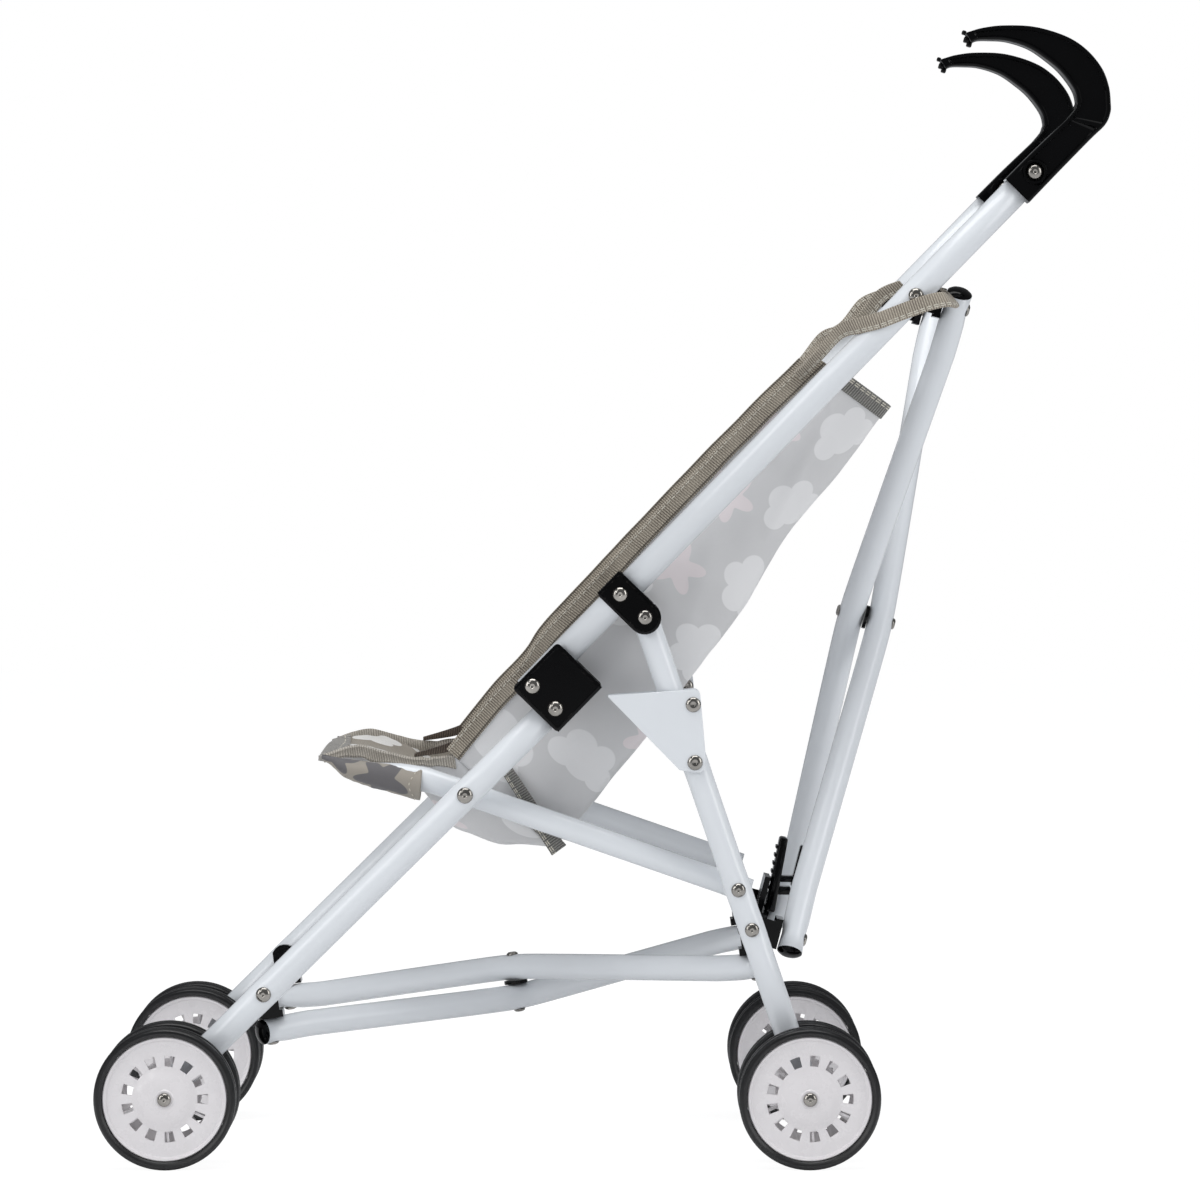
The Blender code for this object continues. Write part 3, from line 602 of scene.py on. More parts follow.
def wheelDisc(name, x, hub, facing, body):
    bm = bmesh.new()
    profile = [(0.0025, 0.0066), (0.0045, 0.0066), (0.0050, 0.0062), (0.0068, 0.0061), (0.0100, 0.0057),
               (0.0130, 0.0047), (0.0152, 0.0036), (0.0162, 0.0034), (0.0214, 0.0034), (0.0260, 0.0034),
               (0.0284, 0.0036), (0.0292, 0.0046), (0.0302, 0.0050), (0.0307, 0.0044), (0.0307, -0.0052),
               (0.0300, -0.0056)]
    spunShape(bm, profile, steps=wheelSizes["windows"] * wheelSizes["stepsPerWindow"])
    step = 2 * math.pi / (wheelSizes["windows"] * wheelSizes["stepsPerWindow"])
    gone = []
    for face in bm.faces:
        middle = face.calc_center_median()
        radius = math.hypot(middle.x, middle.y)
        turn = int((math.atan2(middle.y, middle.x) % (2 * math.pi)) / step) % wheelSizes["stepsPerWindow"]
        if wheelSizes["gapFrom"] < radius < wheelSizes["gapTo"] and turn < wheelSizes["gapSteps"]:
            gone.append(face)
    bmesh.ops.delete(bm, geom=gone, context="FACES")
    matrix = crossPlace(x, hub)
    if facing < 0:
        matrix = matrix @ Matrix.Rotation(math.pi, 4, "X")
    disc = finishPiece("disc_" + name, bm, wheelWhite, body, ["rim_" + name], 28, matrix,
                       closed=False)
    wall = disc.modifiers.new("wall", "SOLIDIFY")
    wall.thickness = wheelSizes["wall"]
    wall.offset = -1
    edge = disc.modifiers.new("edge", "BEVEL")
    edge.width = 0.00015
    edge.segments = 1
    edge.limit_method = "ANGLE"
    edge.angle_limit = math.radians(50)
    # hub sleeve and spokes behind the disc
    back = bmesh.new()
    spunShape(back, [(0.0026, 0.0050), (0.0062, 0.0050), (0.0062, -0.0064), (0.0058, -0.0068),
                     (0.0026, -0.0068)], steps=32, closedRing=True)
    for index in range(wheelSizes["spokes"]):
        part = bmesh.new()
        bmesh.ops.create_cube(part, size=1)
        bmesh.ops.scale(part, vec=wheelSizes["spoke"], verts=part.verts)
        bmesh.ops.translate(part, vec=wheelSizes["spokeAt"], verts=part.verts)
        turn = 2 * math.pi / wheelSizes["spokes"] * index + 0.08
        joinInto(back, part, Matrix.Rotation(turn, 4, "Z"))
    finishPiece("hub_" + name, back, wheelWhite, body, angle=35, matrix=matrix)
    tyre = bmesh.new()
    outer = [(0.0309, 0.0058), (0.0315, 0.0064), (0.0327, 0.0070), (0.0338, 0.0068), (0.0346, 0.0060),
             (0.0350, 0.0048), (0.0350, 0.0030), (0.0345, 0.0026), (0.0338, 0.0025), (0.0338, 0.0010),
             (0.0344, 0.0008)]
    mirrored = [(radius, -height) for radius, height in reversed(outer)]
    spunShape(tyre, outer + mirrored, steps=wheelSizes["treadSteps"], closedRing=True)
    finishPiece("tread_" + name, tyre, tyreBlack, body, ["tyre_" + name], 32, matrix)


for side, tag in sides:
    for end, hub in (("front", places["frontHub"]), ("rear", places["rearHub"])):
        for where, sign in (("outer", 1), ("inner", -1)):
            label = f"{end}_{tag}_{where}"
            wheelDisc(label, side * (sideX + sign * wheelSizes["offset"]), hub, side * sign,
                      "wheel_" + label)
        axle = bmesh.new()
        ends = sorted((side * axleSizes["inner"], side * axleSizes["outer"]))
        addRod(axle, axleSizes["radius"], *ends, hub)
        for at, facing in ((axleSizes["headOuter"], side), (axleSizes["headInner"], -side)):
            addRivet(axle, side * at, hub, facing, axleSizes["head"], axleSizes["headHeight"])
        finishPiece(f"axlePin_{end}_{tag}", axle, steelBright, f"{tag}_{end}",
                    [f"{end}_axle_{tag}"], 50)
print("wheels made")


# Black brackets at the hinge, and lugs over the handle tubes

bracketSizes = {"low": -0.0079, "high": 0.0241, "top": 0.0063, "bottom": 0.0250, "side": 0.0094,
                "wall": 0.0019}
lugSizes = {"at": 0.0626, "half": 0.0082, "side": 0.0094, "wall": 0.0020, "tip": 0.0161, "crown": -0.0092,
            "crownInner": -0.0074, "corner": 0.0022}


def roundedBox(y1, y2, z1, z2, radius, count=4):
    outline = []
    for cy, cz, start in ((y2 - radius, z2 - radius, 0), (y1 + radius, z2 - radius, 90),
                          (y1 + radius, z1 + radius, 180), (y2 - radius, z1 + radius, 270)):
        outline += arcPoints((cy, cz), radius, start, start + 90, count)
    return outline


def hingeBracket(side, tag):
    size = bracketSizes
    bm = bmesh.new()
    for sign in (-1, 1):
        faceX = sorted((sign * size["side"], sign * (size["side"] - size["wall"])))
        cheek = plateFrom(roundedBox(-size["top"], size["bottom"], size["low"], size["high"], 0.0022),
                          *faceX)
        flat = [face for face in cheek.faces if abs(face.normal.x) > 0.9 and face.normal.x * sign > 0]
        bmesh.ops.inset_region(cheek, faces=flat, thickness=0.0016, depth=0)
        bmesh.ops.inset_region(cheek, faces=flat, thickness=0.0004, depth=-0.0004)
        bevelAll(cheek, 0.0005, 2, 60)
        joinInto(bm, cheek, Matrix.Identity(4))
    inner, outer = size["bottom"] - 0.0018, size["bottom"]
    low, high = size["low"] + 0.0006, size["high"] - 0.0006
    web = plateFrom([(inner, low), (outer, low), (outer, high), (inner, high)],
                    -size["side"] + 0.0008, size["side"] - 0.0008)
    joinInto(bm, web, Matrix.Identity(4))
    finishPiece("hingeChannel_" + tag, bm, blackGloss, tag + "_front",
                ["hinge_bracket_" + tag], 35, placeOn(side * sideX, places["hinge"], handleLine))


def lugSaddle(side, tag):
    size = lugSizes
    bm = bmesh.new()
    for sign in (-1, 1):
        faceX = sorted((sign * size["side"], sign * (size["side"] - size["wall"])))
        corner = size["corner"]
        outline = arcPoints((size["crown"] + corner, size["half"] - corner), corner, 90, 180, 3)
        outline += arcPoints((size["crown"] + corner, -size["half"] + corner), corner, 180, 270, 3)
        outline += arcPoints((size["tip"], 0), size["half"], -90, 90, 14)
        cheek = plateFrom(outline, *faceX)
        flat = [face for face in cheek.faces if abs(face.normal.x) > 0.9 and face.normal.x * sign > 0]
        bmesh.ops.inset_region(cheek, faces=flat, thickness=0.0014, depth=0)
        bmesh.ops.inset_region(cheek, faces=flat, thickness=0.0004, depth=-0.0004)
        bevelAll(cheek, 0.0005, 2, 60)
        joinInto(bm, cheek, Matrix.Identity(4))
    low, high = size["crown"], size["crownInner"]
    crown = plateFrom([(low, -size["half"] + 0.0006), (high, -size["half"] + 0.0006),
                       (high, size["half"] - 0.0006), (low, size["half"] - 0.0006)],
                      -size["side"] + 0.0008, size["side"] - 0.0008)
    joinInto(bm, crown, Matrix.Identity(4))
    finishPiece("lugSaddle_" + tag, bm, blackGloss, tag + "_handle",
                ["rear_leg_lug_" + tag], 35,
                placeOn(side * sideX, onLine(places["hinge"], handleLine, size["at"]), handleLine))


for side, tag in sides:
    hingeBracket(side, tag)
    lugSaddle(side, tag)
print("brackets made")


# Safety latches: two thin painted plates on each rear leg

latchSizes = {"inner": 0.0074, "outer": 0.0084, "headAt": 0.0083, "head": 0.0038, "headHeight": 0.0016}
pinRadius = 0.0018


def latchPlates(side, tag):
    bm = bmesh.new()
    outline = [(0.0027, 0.2323), (0.0029, 0.2331)] + arcPoints((0.0452, 0.2330), 0.0030, 92, 8, 4)
    outline += [(0.0510, 0.2020)] + arcPoints((0.0470, 0.1985), 0.0036, 0, -110, 4) + [(0.0380, 0.1962)]
    for sign in (-1, 1):
        plate = plateFrom(outline, *sorted((sign * latchSizes["inner"], sign * latchSizes["outer"])))
        bevelAll(plate, 0.0002, 1, 60)
        joinInto(bm, plate, Matrix.Translation((side * sideX, 0, 0)))
    piece = finishPiece("latchPlates_" + tag, bm, whitePaint, tag + "_latch",
                        ["latch_plate_" + tag], 35)
    pins = bmesh.new()
    for place in (places["latchPivot"], places["latchStop"]):
        reach = latchSizes["outer"]
        addRod(pins, pinRadius, side * sideX - reach, side * sideX + reach, place)
        for sign in (1, -1):
            addRivet(pins, side * (sideX + sign * latchSizes["headAt"]), place, side * sign,
                     latchSizes["head"], latchSizes["headHeight"])
    finishPiece("latchRivets_" + tag, pins, steelBright, tag + "_latch", angle=50)
    return piece


for side, tag in sides:
    latchPlates(side, tag)
    frontPins = bmesh.new()
    face = bracketSizes["side"]
    for place in (places["hinge"], places["bracketRivet"]):
        addRod(frontPins, pinRadius, side * sideX - face, side * sideX + face, place)
        addRivet(frontPins, side * (sideX + face - 0.0005), place, side, 0.0040, 0.0020)
        addRivet(frontPins, side * (sideX - face + 0.0003), place, -side, 0.0030, 0.0006)
    finishPiece("hingeRivets_" + tag, frontPins, steelBright, tag + "_front",
                ["hinge_pin_" + tag], 50)
    railPins = bmesh.new()
    inner, outer = railX - 0.0062, sideX + 0.0064
    addRod(railPins, pinRadius, *sorted((side * inner, side * outer)), places["railPivot"])
    addRivet(railPins, side * (outer - 0.0002), places["railPivot"], side, 0.0040, 0.0018)
    addRivet(railPins, side * (inner + 0.0002), places["railPivot"], -side, 0.0034, 0.0013)
    finishPiece("railRivets_" + tag, railPins, steelBright, tag + "_front",
                ["rail_pin_" + tag], 50)
    kneePins = bmesh.new()
    addRivet(kneePins, side * (sideX + 0.0062), places["lowerFront"], side, 0.0038, 0.0018)
    finishPiece("kneeRivet_" + tag, kneePins, steelBright, tag + "_front", angle=50)
    handlePins = bmesh.new()
    for place, at in ((places["lugRivet"], lugSizes["side"] - 0.0005),
                      (places["lugPivot"], lugSizes["side"] - 0.0005), (places["backTop"], 0.0062)):
        addRivet(handlePins, side * (sideX + at), place, side, 0.0038, 0.0018)
    finishPiece("handleRivets_" + tag, handlePins, steelBright, tag + "_handle", angle=50)
    rearPins = bmesh.new()
    for place in (places["railEnd"], places["lowerRear"]):
        addRivet(rearPins, side * (sideX + 0.0057), place, side, 0.0036, 0.0018)
    addRod(rearPins, pinRadius, *sorted((side * 0.0850, side * 0.1010)), places["railEnd"])
    addRivet(rearPins, side * 0.0851, places["railEnd"], -side, 0.0034, 0.0012)
    finishPiece("rearRivets_" + tag, rearPins, steelBright, tag + "_rear", angle=50)
print("latches and rivets made")


# Hooked grips

gripSizes = {"half": 0.0088, "panelInset": 0.0019, "panelDepth": 0.0011, "panelSlope": 0.0006,
             "corner": 0.0010, "stations": 126, "bossIn": 0.0010, "hornStart": -0.012,
             "hornLength": 0.056, "hornTaper": 0.34}
gripOuter = [(0.0086, 0.3407), (0.0084, 0.3600), (0.0084, 0.3837), (0.0086, 0.3940), (0.0063, 0.4000),
             (0.0029, 0.4037), (-0.0034, 0.4088), (-0.0123, 0.4128), (-0.0240, 0.4140), (-0.0358, 0.4116),
             (-0.0498, 0.4043), (-0.0611, 0.3943), (-0.0675, 0.3865), (-0.0707, 0.3811), (-0.0722, 0.3782)]
gripInner = [(-0.0078, 0.3407), (-0.0076, 0.3600), (-0.0069, 0.3800), (-0.0070, 0.3842), (-0.0074, 0.3885),
             (-0.0084, 0.3908), (-0.0097, 0.3928), (-0.0150, 0.3957), (-0.0250, 0.3973), (-0.0340, 0.3968),
             (-0.0445, 0.3948), (-0.0545, 0.3898), (-0.0610, 0.3843), (-0.0653, 0.3799), (-0.0664, 0.3768)]
gripNubs = ((-0.0726, 0.3784, 0.0022), (-0.0668, 0.3760, 0.0026), (-0.0692, 0.3768, 0.0030))


def hookedGrip(side, tag):
    size = gripSizes
    stations, ring = size["stations"], 20
    outer, inner = smoothRun(gripOuter, stations), smoothRun(gripInner, stations)
    bm = bmesh.new()
    bmesh.ops.create_grid(bm, x_segments=stations, y_segments=ring, size=1.0)
    for vert in bm.verts:
        step = round((vert.co.x * 0.5 + 0.5) * stations)
        corner = round((vert.co.y * 0.5 + 0.5) * ring) % ring
        first, second = outer[step], inner[step]
        wide = (second - first).length
        reach = step / stations
        horn = min(1, max(0, size["hornStart"] - first.x) / size["hornLength"])
        half = size["half"] * (1 - size["hornTaper"] * horn) * (1 - 0.25 * ease(0.985, 1, reach))
        turn, edge, slope = size["corner"], min(size["panelInset"], wide * 0.26), size["panelSlope"]
        # sunk panels, one on the socket and one on the hook, with a flat bar between them
        sunk = size["panelDepth"] * (ease(0.030, 0.045, reach) * (1 - ease(0.178, 0.190, reach))
                                     + ease(0.212, 0.224, reach) * (1 - ease(0.90, 0.93, reach)))
        run = [(0, half - turn), (turn * 0.3, half - turn * 0.3), (turn, half), (edge, half),
               (edge + slope, half - sunk), (wide - edge - slope, half - sunk), (wide - edge, half),
               (wide - turn, half), (wide - turn * 0.3, half - turn * 0.3), (wide, half - turn)]
        across, x = run[corner] if corner < 10 else run[19 - corner]
        spot = first + (second - first).normalized() * across
        vert.co = (x if corner < 10 else -x, spot.x, spot.y)
    bmesh.ops.remove_doubles(bm, verts=bm.verts, dist=0.000005)
    bmesh.ops.holes_fill(bm, edges=[edge for edge in bm.edges if edge.is_boundary], sides=0)
    piece = finishPiece("hookGrip_" + tag, bm, blackGloss, tag + "_handle",
                        ["handle_grip_" + tag], 40, placeOn(side * sideX, places["hinge"], handleLine))
    nubs = bmesh.new()
    for y, z, block in gripNubs:
        part = bmesh.new()
        bmesh.ops.create_cube(part, size=block)
        bevelAll(part, 0.0006, 2)
        joinInto(nubs, part, placeOn(side * sideX, places["hinge"], handleLine)
                 @ Matrix.Translation((0, y, z)) @ Matrix.Rotation(0.5, 4, "X")
                 @ Matrix.Diagonal((2.2, 1, 1, 1)))
    finishPiece("gripNubs_" + tag, nubs, blackGloss, tag + "_handle", angle=50)
    extra = bmesh.new()
    for sign in (-1, 1):
        part = bmesh.new()
        spunShape(part, [(0.0042, 0.0006), (0.0048, 0.0017), (0.0058, 0.0017), (0.0064, 0.0008),
                         (0.0065, 0.0), (0.0042, 0.0)], steps=28, closedRing=True)
        turn = Matrix.Rotation(math.pi / 2 * sign, 4, "Y")
        at = side * sideX + sign * (size["half"] - size["bossIn"])
        joinInto(extra, part, Matrix.Translation((at, *places["gripRivet"])) @ turn)
    finishPiece("gripBoss_" + tag, extra, blackGloss, tag + "_handle", angle=40)
    caps = bmesh.new()
    for sign in (-1, 1):
        at = side * sideX + sign * (size["half"] - size["bossIn"])
        addRivet(caps, at, places["gripRivet"], sign, 0.0040, 0.0022)
    finishPiece("gripRivets_" + tag, caps, steelBright, tag + "_handle", angle=50)
    return piece


for side, tag in sides:
    hookedGrip(side, tag)
print("grips made")


# Plain mouldings that keep the CAD shape

for name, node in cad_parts.items():
    if "knuckle" in name or "lock_arm" in name or "spacer" in name:
        node.data.materials.clear()
        node.data.materials.append(blackGloss)


# The fold lock's tall pedal and its release lever, on the left arm

pedalSizes = {"x": 0.0105, "width": 0.017, "thick": 0.0052, "low": (0.0853, 0.1185),
              "high": (0.0927, 0.1562), "leverLow": (0.0972, 0.1310), "leverHigh": (0.1024, 0.1520),
              "leverThick": 0.0028, "leverWidth": 0.014, "taper": 0.82, "ribs": 6, "ribFrom": 0.012,
              "ribPitch": 0.0042}


def lockPedal():
    size = pedalSizes
    bm = bmesh.new()
    for low, high, thick, width in ((size["low"], size["high"], size["thick"], size["width"]),
                                    (size["leverLow"], size["leverHigh"], size["leverThick"],
                                     size["leverWidth"])):
        line = lineTo(low, high)
        length = math.dist(low, high)
        part = bmesh.new()
        bmesh.ops.create_cube(part, size=1)
        for vert in part.verts:
            taper = size["taper"] if vert.co.z > 0 else 1
            vert.co = (vert.co.x * width * taper, vert.co.y * thick * taper, vert.co.z * length)
        bevelAll(part, 0.0012, 3)
        joinInto(bm, part, placeOn(size["x"], ((low[0] + high[0]) / 2, (low[1] + high[1]) / 2), line))
    line = lineTo(size["low"], size["high"])
    for step in range(size["ribs"]):
        part = bmesh.new()
        bmesh.ops.create_cube(part, size=1)
        for vert in part.verts:
            vert.co = (vert.co.x * 0.0130, vert.co.y * 0.0012, vert.co.z * 0.0016)
        bevelAll(part, 0.0003, 2)
        place = onLine(size["low"], line, size["ribFrom"] + step * size["ribPitch"])
        lift = Matrix.Translation((0, -size["thick"] * 0.5, 0))
        joinInto(bm, part, placeOn(size["x"], place, line) @ lift)
    # two bars tie pedal and lever to the arm
    for place, tall in (((0.0905, 0.1290), 0.0040), ((0.0925, 0.1350), 0.0030)):
        part = bmesh.new()
        bmesh.ops.create_cube(part, size=1)
        for vert in part.verts:
            vert.co = (vert.co.x * 0.010, vert.co.y * 0.011, vert.co.z * tall)
        bevelAll(part, 0.0005, 2)
        joinInto(bm, part, Matrix.Translation((size["x"], *place)))
    return finishPiece("lockPedal", bm, blackGloss, "left_lock_arm", angle=45)


lockPedal()
print("pedal made")


# Seat cloth

clothSizes = {"wingTop": 0.0932, "wingLow": 0.0825, "panelTop": 0.0790, "panelLow": 0.0745,
              "panEdgeX": 0.0820, "cornerX": 0.0727, "thick": 0.0011, "rows": 96, "columns": 112,
              "panRows": 44, "backFlat": (0.289, 0.275), "panFlat": (0.222, 0.107)}


def curveThrough(points, share):
    # smooth point on a run of (Y, Z) places, share from 0 to 1 by length
    lengths = [math.dist(a, b) for a, b in zip(points, points[1:])]
    target = share * sum(lengths)
    index = 0
    while index < len(lengths) - 1 and target > lengths[index]:
        target -= lengths[index]
        index += 1
    return splineAt(points, index, min(1, target / lengths[index]))


def besideHandle(along, above):
    return (places["hinge"][0] + handleLine[0] * along - handleLine[1] * above,
            places["hinge"][1] + handleLine[1] * along + handleLine[0] * above)


backEdge = [besideHandle(0.214, 0.0150), besideHandle(0.180, 0.0158), besideHandle(0.120, 0.0160),
            besideHandle(0.060, 0.0148), besideHandle(0.020, 0.0140), besideHandle(0.003, 0.0110),
            (-0.0564, 0.2304), (-0.0772, 0.2045)]
backFold = [(0.1415, 0.3745), (0.1130, 0.3385), (0.0860, 0.3040), (0.0660, 0.2690), (0.0480, 0.2460),
            (0.0230, 0.2130), (-0.0040, 0.1780), (-0.0235, 0.1560)]
panEdge = [(-0.0735, 0.2018), (-0.0830, 0.2003), (-0.0880, 0.1996), (-0.0970, 0.2005), (-0.1070, 0.2028),
           (-0.1195, 0.2062), (-0.1260, 0.2058), (-0.1320, 0.2040), (-0.1390, 0.2012)]
panTapeWidths = [0.0072, 0.0046, 0.0037, 0.0043, 0.0053, 0.0070, 0.0056, 0.0040, 0.0032]
panFold = [(-0.0250, 0.1556), (-0.0400, 0.1565), (-0.0520, 0.1572), (-0.0650, 0.1620), (-0.0760, 0.1680),
           (-0.0850, 0.1845), (-0.1000, 0.1895), (-0.1200, 0.1965), (-0.1395, 0.1995)]


def wingAt(share):
    return clothSizes["wingTop"] + (clothSizes["wingLow"] - clothSizes["wingTop"]) * ease(0.74, 1, share)


def panelAt(share):
    return clothSizes["panelTop"] + (clothSizes["panelLow"] - clothSizes["panelTop"]) * ease(0.6, 1, share)


def nearLine(point, start, end, width):
    # 1 on the line from start to end, falling to 0 at the width and softly past both ends
    a, b = Vector(start), Vector(end)
    run = b - a
    t = max(0, min(1, (point - a).dot(run) / run.length_squared))
    return math.exp(-((point - a - run * t).length / width) ** 2)


def clothGrid(name, columns, rows, shape, flat, materials, body, nodes, cut=(0, 0)):
    bm = bmesh.new()
    bmesh.ops.create_grid(bm, x_segments=columns, y_segments=rows, size=1.0)
    layer = bm.loops.layers.uv.new("UVMap")
    for vert in bm.verts:
        vert.co = (vert.co.x * 0.5 + 0.5, vert.co.y * 0.5 + 0.5, 0)
    for face in bm.faces:
        for loop in face.loops:
            loop[layer].uv = (loop.vert.co.x * flat[0] + cut[0], loop.vert.co.y * flat[1] + cut[1])
    for vert in bm.verts:
        vert.co = shape(vert.co.x, vert.co.y)
    area = sum(face.calc_area() for face in bm.faces)
    piece = finishPiece(name, bm, materials, body, nodes, 60, closed=False)
    wall = piece.modifiers.new("thickness", "SOLIDIFY")
    wall.thickness = clothSizes["thick"]
    wall.offset = 0
    wall.material_offset = 1
    wall.material_offset_rim = 1
    print(name, "cloth", round(area, 4), "flat", round(flat[0] * flat[1], 4))
    return piece


def crossShape(edge, fold, wing, panel, across, bow):
    # one U-shaped cross-section, across from 0 at the left edge to 1 at the right edge
    side = 1 - 2 * across
    reach = abs(side)
    corner = 0.60
    away = (fold - edge).normalized()
    if reach > corner:
        t = (reach - corner) / (1 - corner)
        lean = t ** 1.18
        point = fold.lerp(edge, lean)
        x = panel + (wing - panel) * (t ** 0.6)
    else:
        t = reach / corner
        point = fold + away * bow * (1 - t * t)
        x = panel * t
    return Vector((math.copysign(x, side), point.x, point.y))


def creases(point, side, seed):
    # long shallow folds that fan from the corners, and small puckers along the seams
    turned = Vector((point.x * 9 + seed, (point.y * 0.75 + point.z) * 26, (point.z * 0.75 - point.y) * 9))
    broad = noise.noise(turned)
    fine = noise.noise(Vector((point.x * 46, point.y * 52 + seed, point.z * 38)))
    return broad * 0.0021 + fine * 0.0006 + 0.0009 * abs(noise.noise(turned * 1.9 + Vector((side, 3, 1))))


def backShape(across, down):
    share = 1 - down
    edge, fold = curveThrough(backEdge, share), curveThrough(backFold, share)
    point = crossShape(edge, fold, wingAt(share), panelAt(share), across, -0.0035)
    side = 1 - 2 * across
    held = min(1, (1 - abs(side)) * 7) * min(1, share * 12 + 0.15)
    shift = creases(point, side, 1.7) * held
    away = (fold - edge).normalized()
    wing = ease(0.52, 0.7, abs(side))
    point += Vector((0, away.x, away.y)) * shift * (1 - wing * 0.75)
    flatPoint = Vector((point.y, point.z))
    ridge = nearLine(flatPoint, (0.1150, 0.3790), (0.0830, 0.3120), 0.0030) * 0.0013
    ridge += nearLine(flatPoint, (0.0560, 0.3110), (0.0430, 0.2680), 0.0040) * 0.0008
    point.x += math.copysign(1, side) * wing * (shift * 0.9 + ridge * held)
    return point


def panShape(across, down):
    share = 1 - down
    edge, fold = curveThrough(panEdge, share), curveThrough(panFold, share)
    wing = clothSizes["panEdgeX"]
    point = crossShape(edge, fold, wing, clothSizes["cornerX"], across, -0.0015)
    side = 1 - 2 * across
    held = min(1, (1 - abs(side)) * 7) * min(1, down * 8) * min(1, share * 8)
    return point + Vector((0, 0, creases(point, side, 8.1) * held * 0.8))


seatBack = clothGrid("seatBackCloth", clothSizes["columns"], clothSizes["rows"], backShape,
                     clothSizes["backFlat"], (clothOutside, clothInside), "left_handle", ["seat_back"])
seatPan = clothGrid("seatPanCloth", clothSizes["columns"], clothSizes["panRows"], panShape,
                    clothSizes["panFlat"], (clothOutside, clothInside), "left_rail", ["seat_pan"],
                    (0.024, 0.010))


# Straps and bindings

def ribbon(name, path, widthways, width, material, body, thick, puff=0):
    # path is a list of points, widthways the strap's width direction at each of them; width may be a list
    count = len(path) - 1
    widths = width if isinstance(width, list) else [width] * (count + 1)
    bm = bmesh.new()
    bmesh.ops.create_grid(bm, x_segments=count, y_segments=8, size=1.0)
    layer = bm.loops.layers.uv.new("UVMap")
    runs = [0]
    for first, second in zip(path, path[1:]):
        runs.append(runs[-1] + (second - first).length)
    spots = {}
    for vert in bm.verts:
        step = round((vert.co.x * 0.5 + 0.5) * count)
        over = vert.co.y * 0.5 + 0.5
        along = path[min(count, step + 1)] - path[max(0, step - 1)]
        out = along.cross(widthways[step]).normalized()
        spots[vert] = (runs[step], over * max(widths))
        swell = 1 - (2 * over - 1) ** 2
        vert.co = path[step] + widthways[step] * (over - 0.5) * widths[step] + out * puff * swell
    for face in bm.faces:
        for loop in face.loops:
            loop[layer].uv = spots[loop.vert]
    piece = finishPiece(name, bm, material, body, angle=60, closed=False)
    wall = piece.modifiers.new("thickness", "SOLIDIFY")
    wall.thickness = thick
    wall.offset = 0
    edge = piece.modifiers.new("edge", "BEVEL")
    edge.width = 0.00045
    edge.segments = 3
    edge.limit_method = "ANGLE"
    edge.angle_limit = math.radians(60)
    return piece


bindSizes = {"width": 0.0085, "thick": 0.0024, "topTape": 0.0083, "topThick": 0.0026, "hem": 0.0100,
             "hemThick": 0.0024, "panThick": 0.0026}


def edgeBinding(side, tag, edge, fold, wing, name, body, width, thick, material, count=90, puff=0.0004):
    path, over, widths = [], [], []
    for step in range(count + 1):
        share = step / count
        place = curveThrough(edge, share)
        inward = (curveThrough(fold, share) - place).normalized()
        wobble = noise.noise(Vector((share * 11, side * 3.1, 1.7))) * 0.0007
        sway = noise.noise(Vector((share * 14, side * 2.3, 6.2))) * 0.0004
        wide = width
        if isinstance(width, list):
            at = share * (len(width) - 1)
            index = min(len(width) - 2, int(at))
            wide = width[index] + (width[index + 1] - width[index]) * ease(0, 1, at - index)
            inward = Vector((0.12, -0.99))
        widths.append(wide)
        path.append(Vector((side * (wing(share) + 0.0002 + wobble),
                            place.x + inward.x * (wide * 0.5 + sway - 0.0004),
                            place.y + inward.y * (wide * 0.5 + sway - 0.0004))))
        over.append(Vector((0, -inward.x, -inward.y)) * side)
    return ribbon(name + tag, path, over, widths, material, body, thick, puff)


backParts, panParts = [], []
for side, tag in sides:
    backParts.append(edgeBinding(side, tag, backEdge, backFold, wingAt, "backBinding_", "left_handle",
                                 bindSizes["width"], bindSizes["thick"], edgeWebbing))
    panParts.append(edgeBinding(side, tag, panEdge, panFold, lambda share: clothSizes["panEdgeX"],
                                "panPiping_", "left_rail", panTapeWidths, bindSizes["panThick"],
                                pipingCloth, 72, 0.0006))
print("bindings made")


# Tape across the back's top and the pan's front, on the cloth's own cross-section

def crossTape(name, shape, rows, width, material, body, thick, count, low, high):
    path, over = [], []
    for step in range(count + 1):
        across = low + (high - low) * step / count
        first, second = shape(across, rows[0]), shape(across, rows[1])
        run = (second - first).normalized()
        path.append(first + run * (width * 0.5 - 0.0022))
        over.append(run)
    return ribbon(name, path, over, width, material, body, thick)


backParts.append(crossTape("backTopTape", backShape, (1.0, 0.97), bindSizes["topTape"], greyTape,
                           "left_handle", bindSizes["topThick"], 130, 0.035, 0.965))
panParts.append(crossTape("panFrontHem", panShape, (0.0, 0.06), bindSizes["hem"], hemTape, "left_rail",
                          bindSizes["hemThick"], 110, 0.01, 0.99))

# Grey strips from the back's lower corners down to the pan's rear edge

stripSizes = {"x": 0.0840, "top": 0.0057, "growth": 0.0033, "steps": 40, "wave": 0.0006, "thick": 0.0016}
stripPath = ((-0.0475, 0.1945), (-0.0400, 0.1830), (-0.0330, 0.1715), (-0.0262, 0.1610), (-0.0215, 0.1545))


def cornerStrip(side, tag):
    size = stripSizes
    steps = size["steps"]
    run = smoothRun([(side * size["x"], y, z) for y, z in stripPath], steps)
    over, widths = [], []
    for step, place in enumerate(run):
        ahead = (run[min(steps, step + 1)] - run[max(0, step - 1)]).normalized()
        over.append(Vector((0, -ahead.z, ahead.y)) * side)
        widths.append(size["top"] + size["growth"] * step / steps)
        run[step] = place + Vector((side * size["wave"] * math.sin(step * 0.16), 0, 0))
    return ribbon("cornerStrip_" + tag, run, over, widths, greyTape, "left_handle", size["thick"], 0.0003)


# Short dark strap ends beside the pan, pointed in front

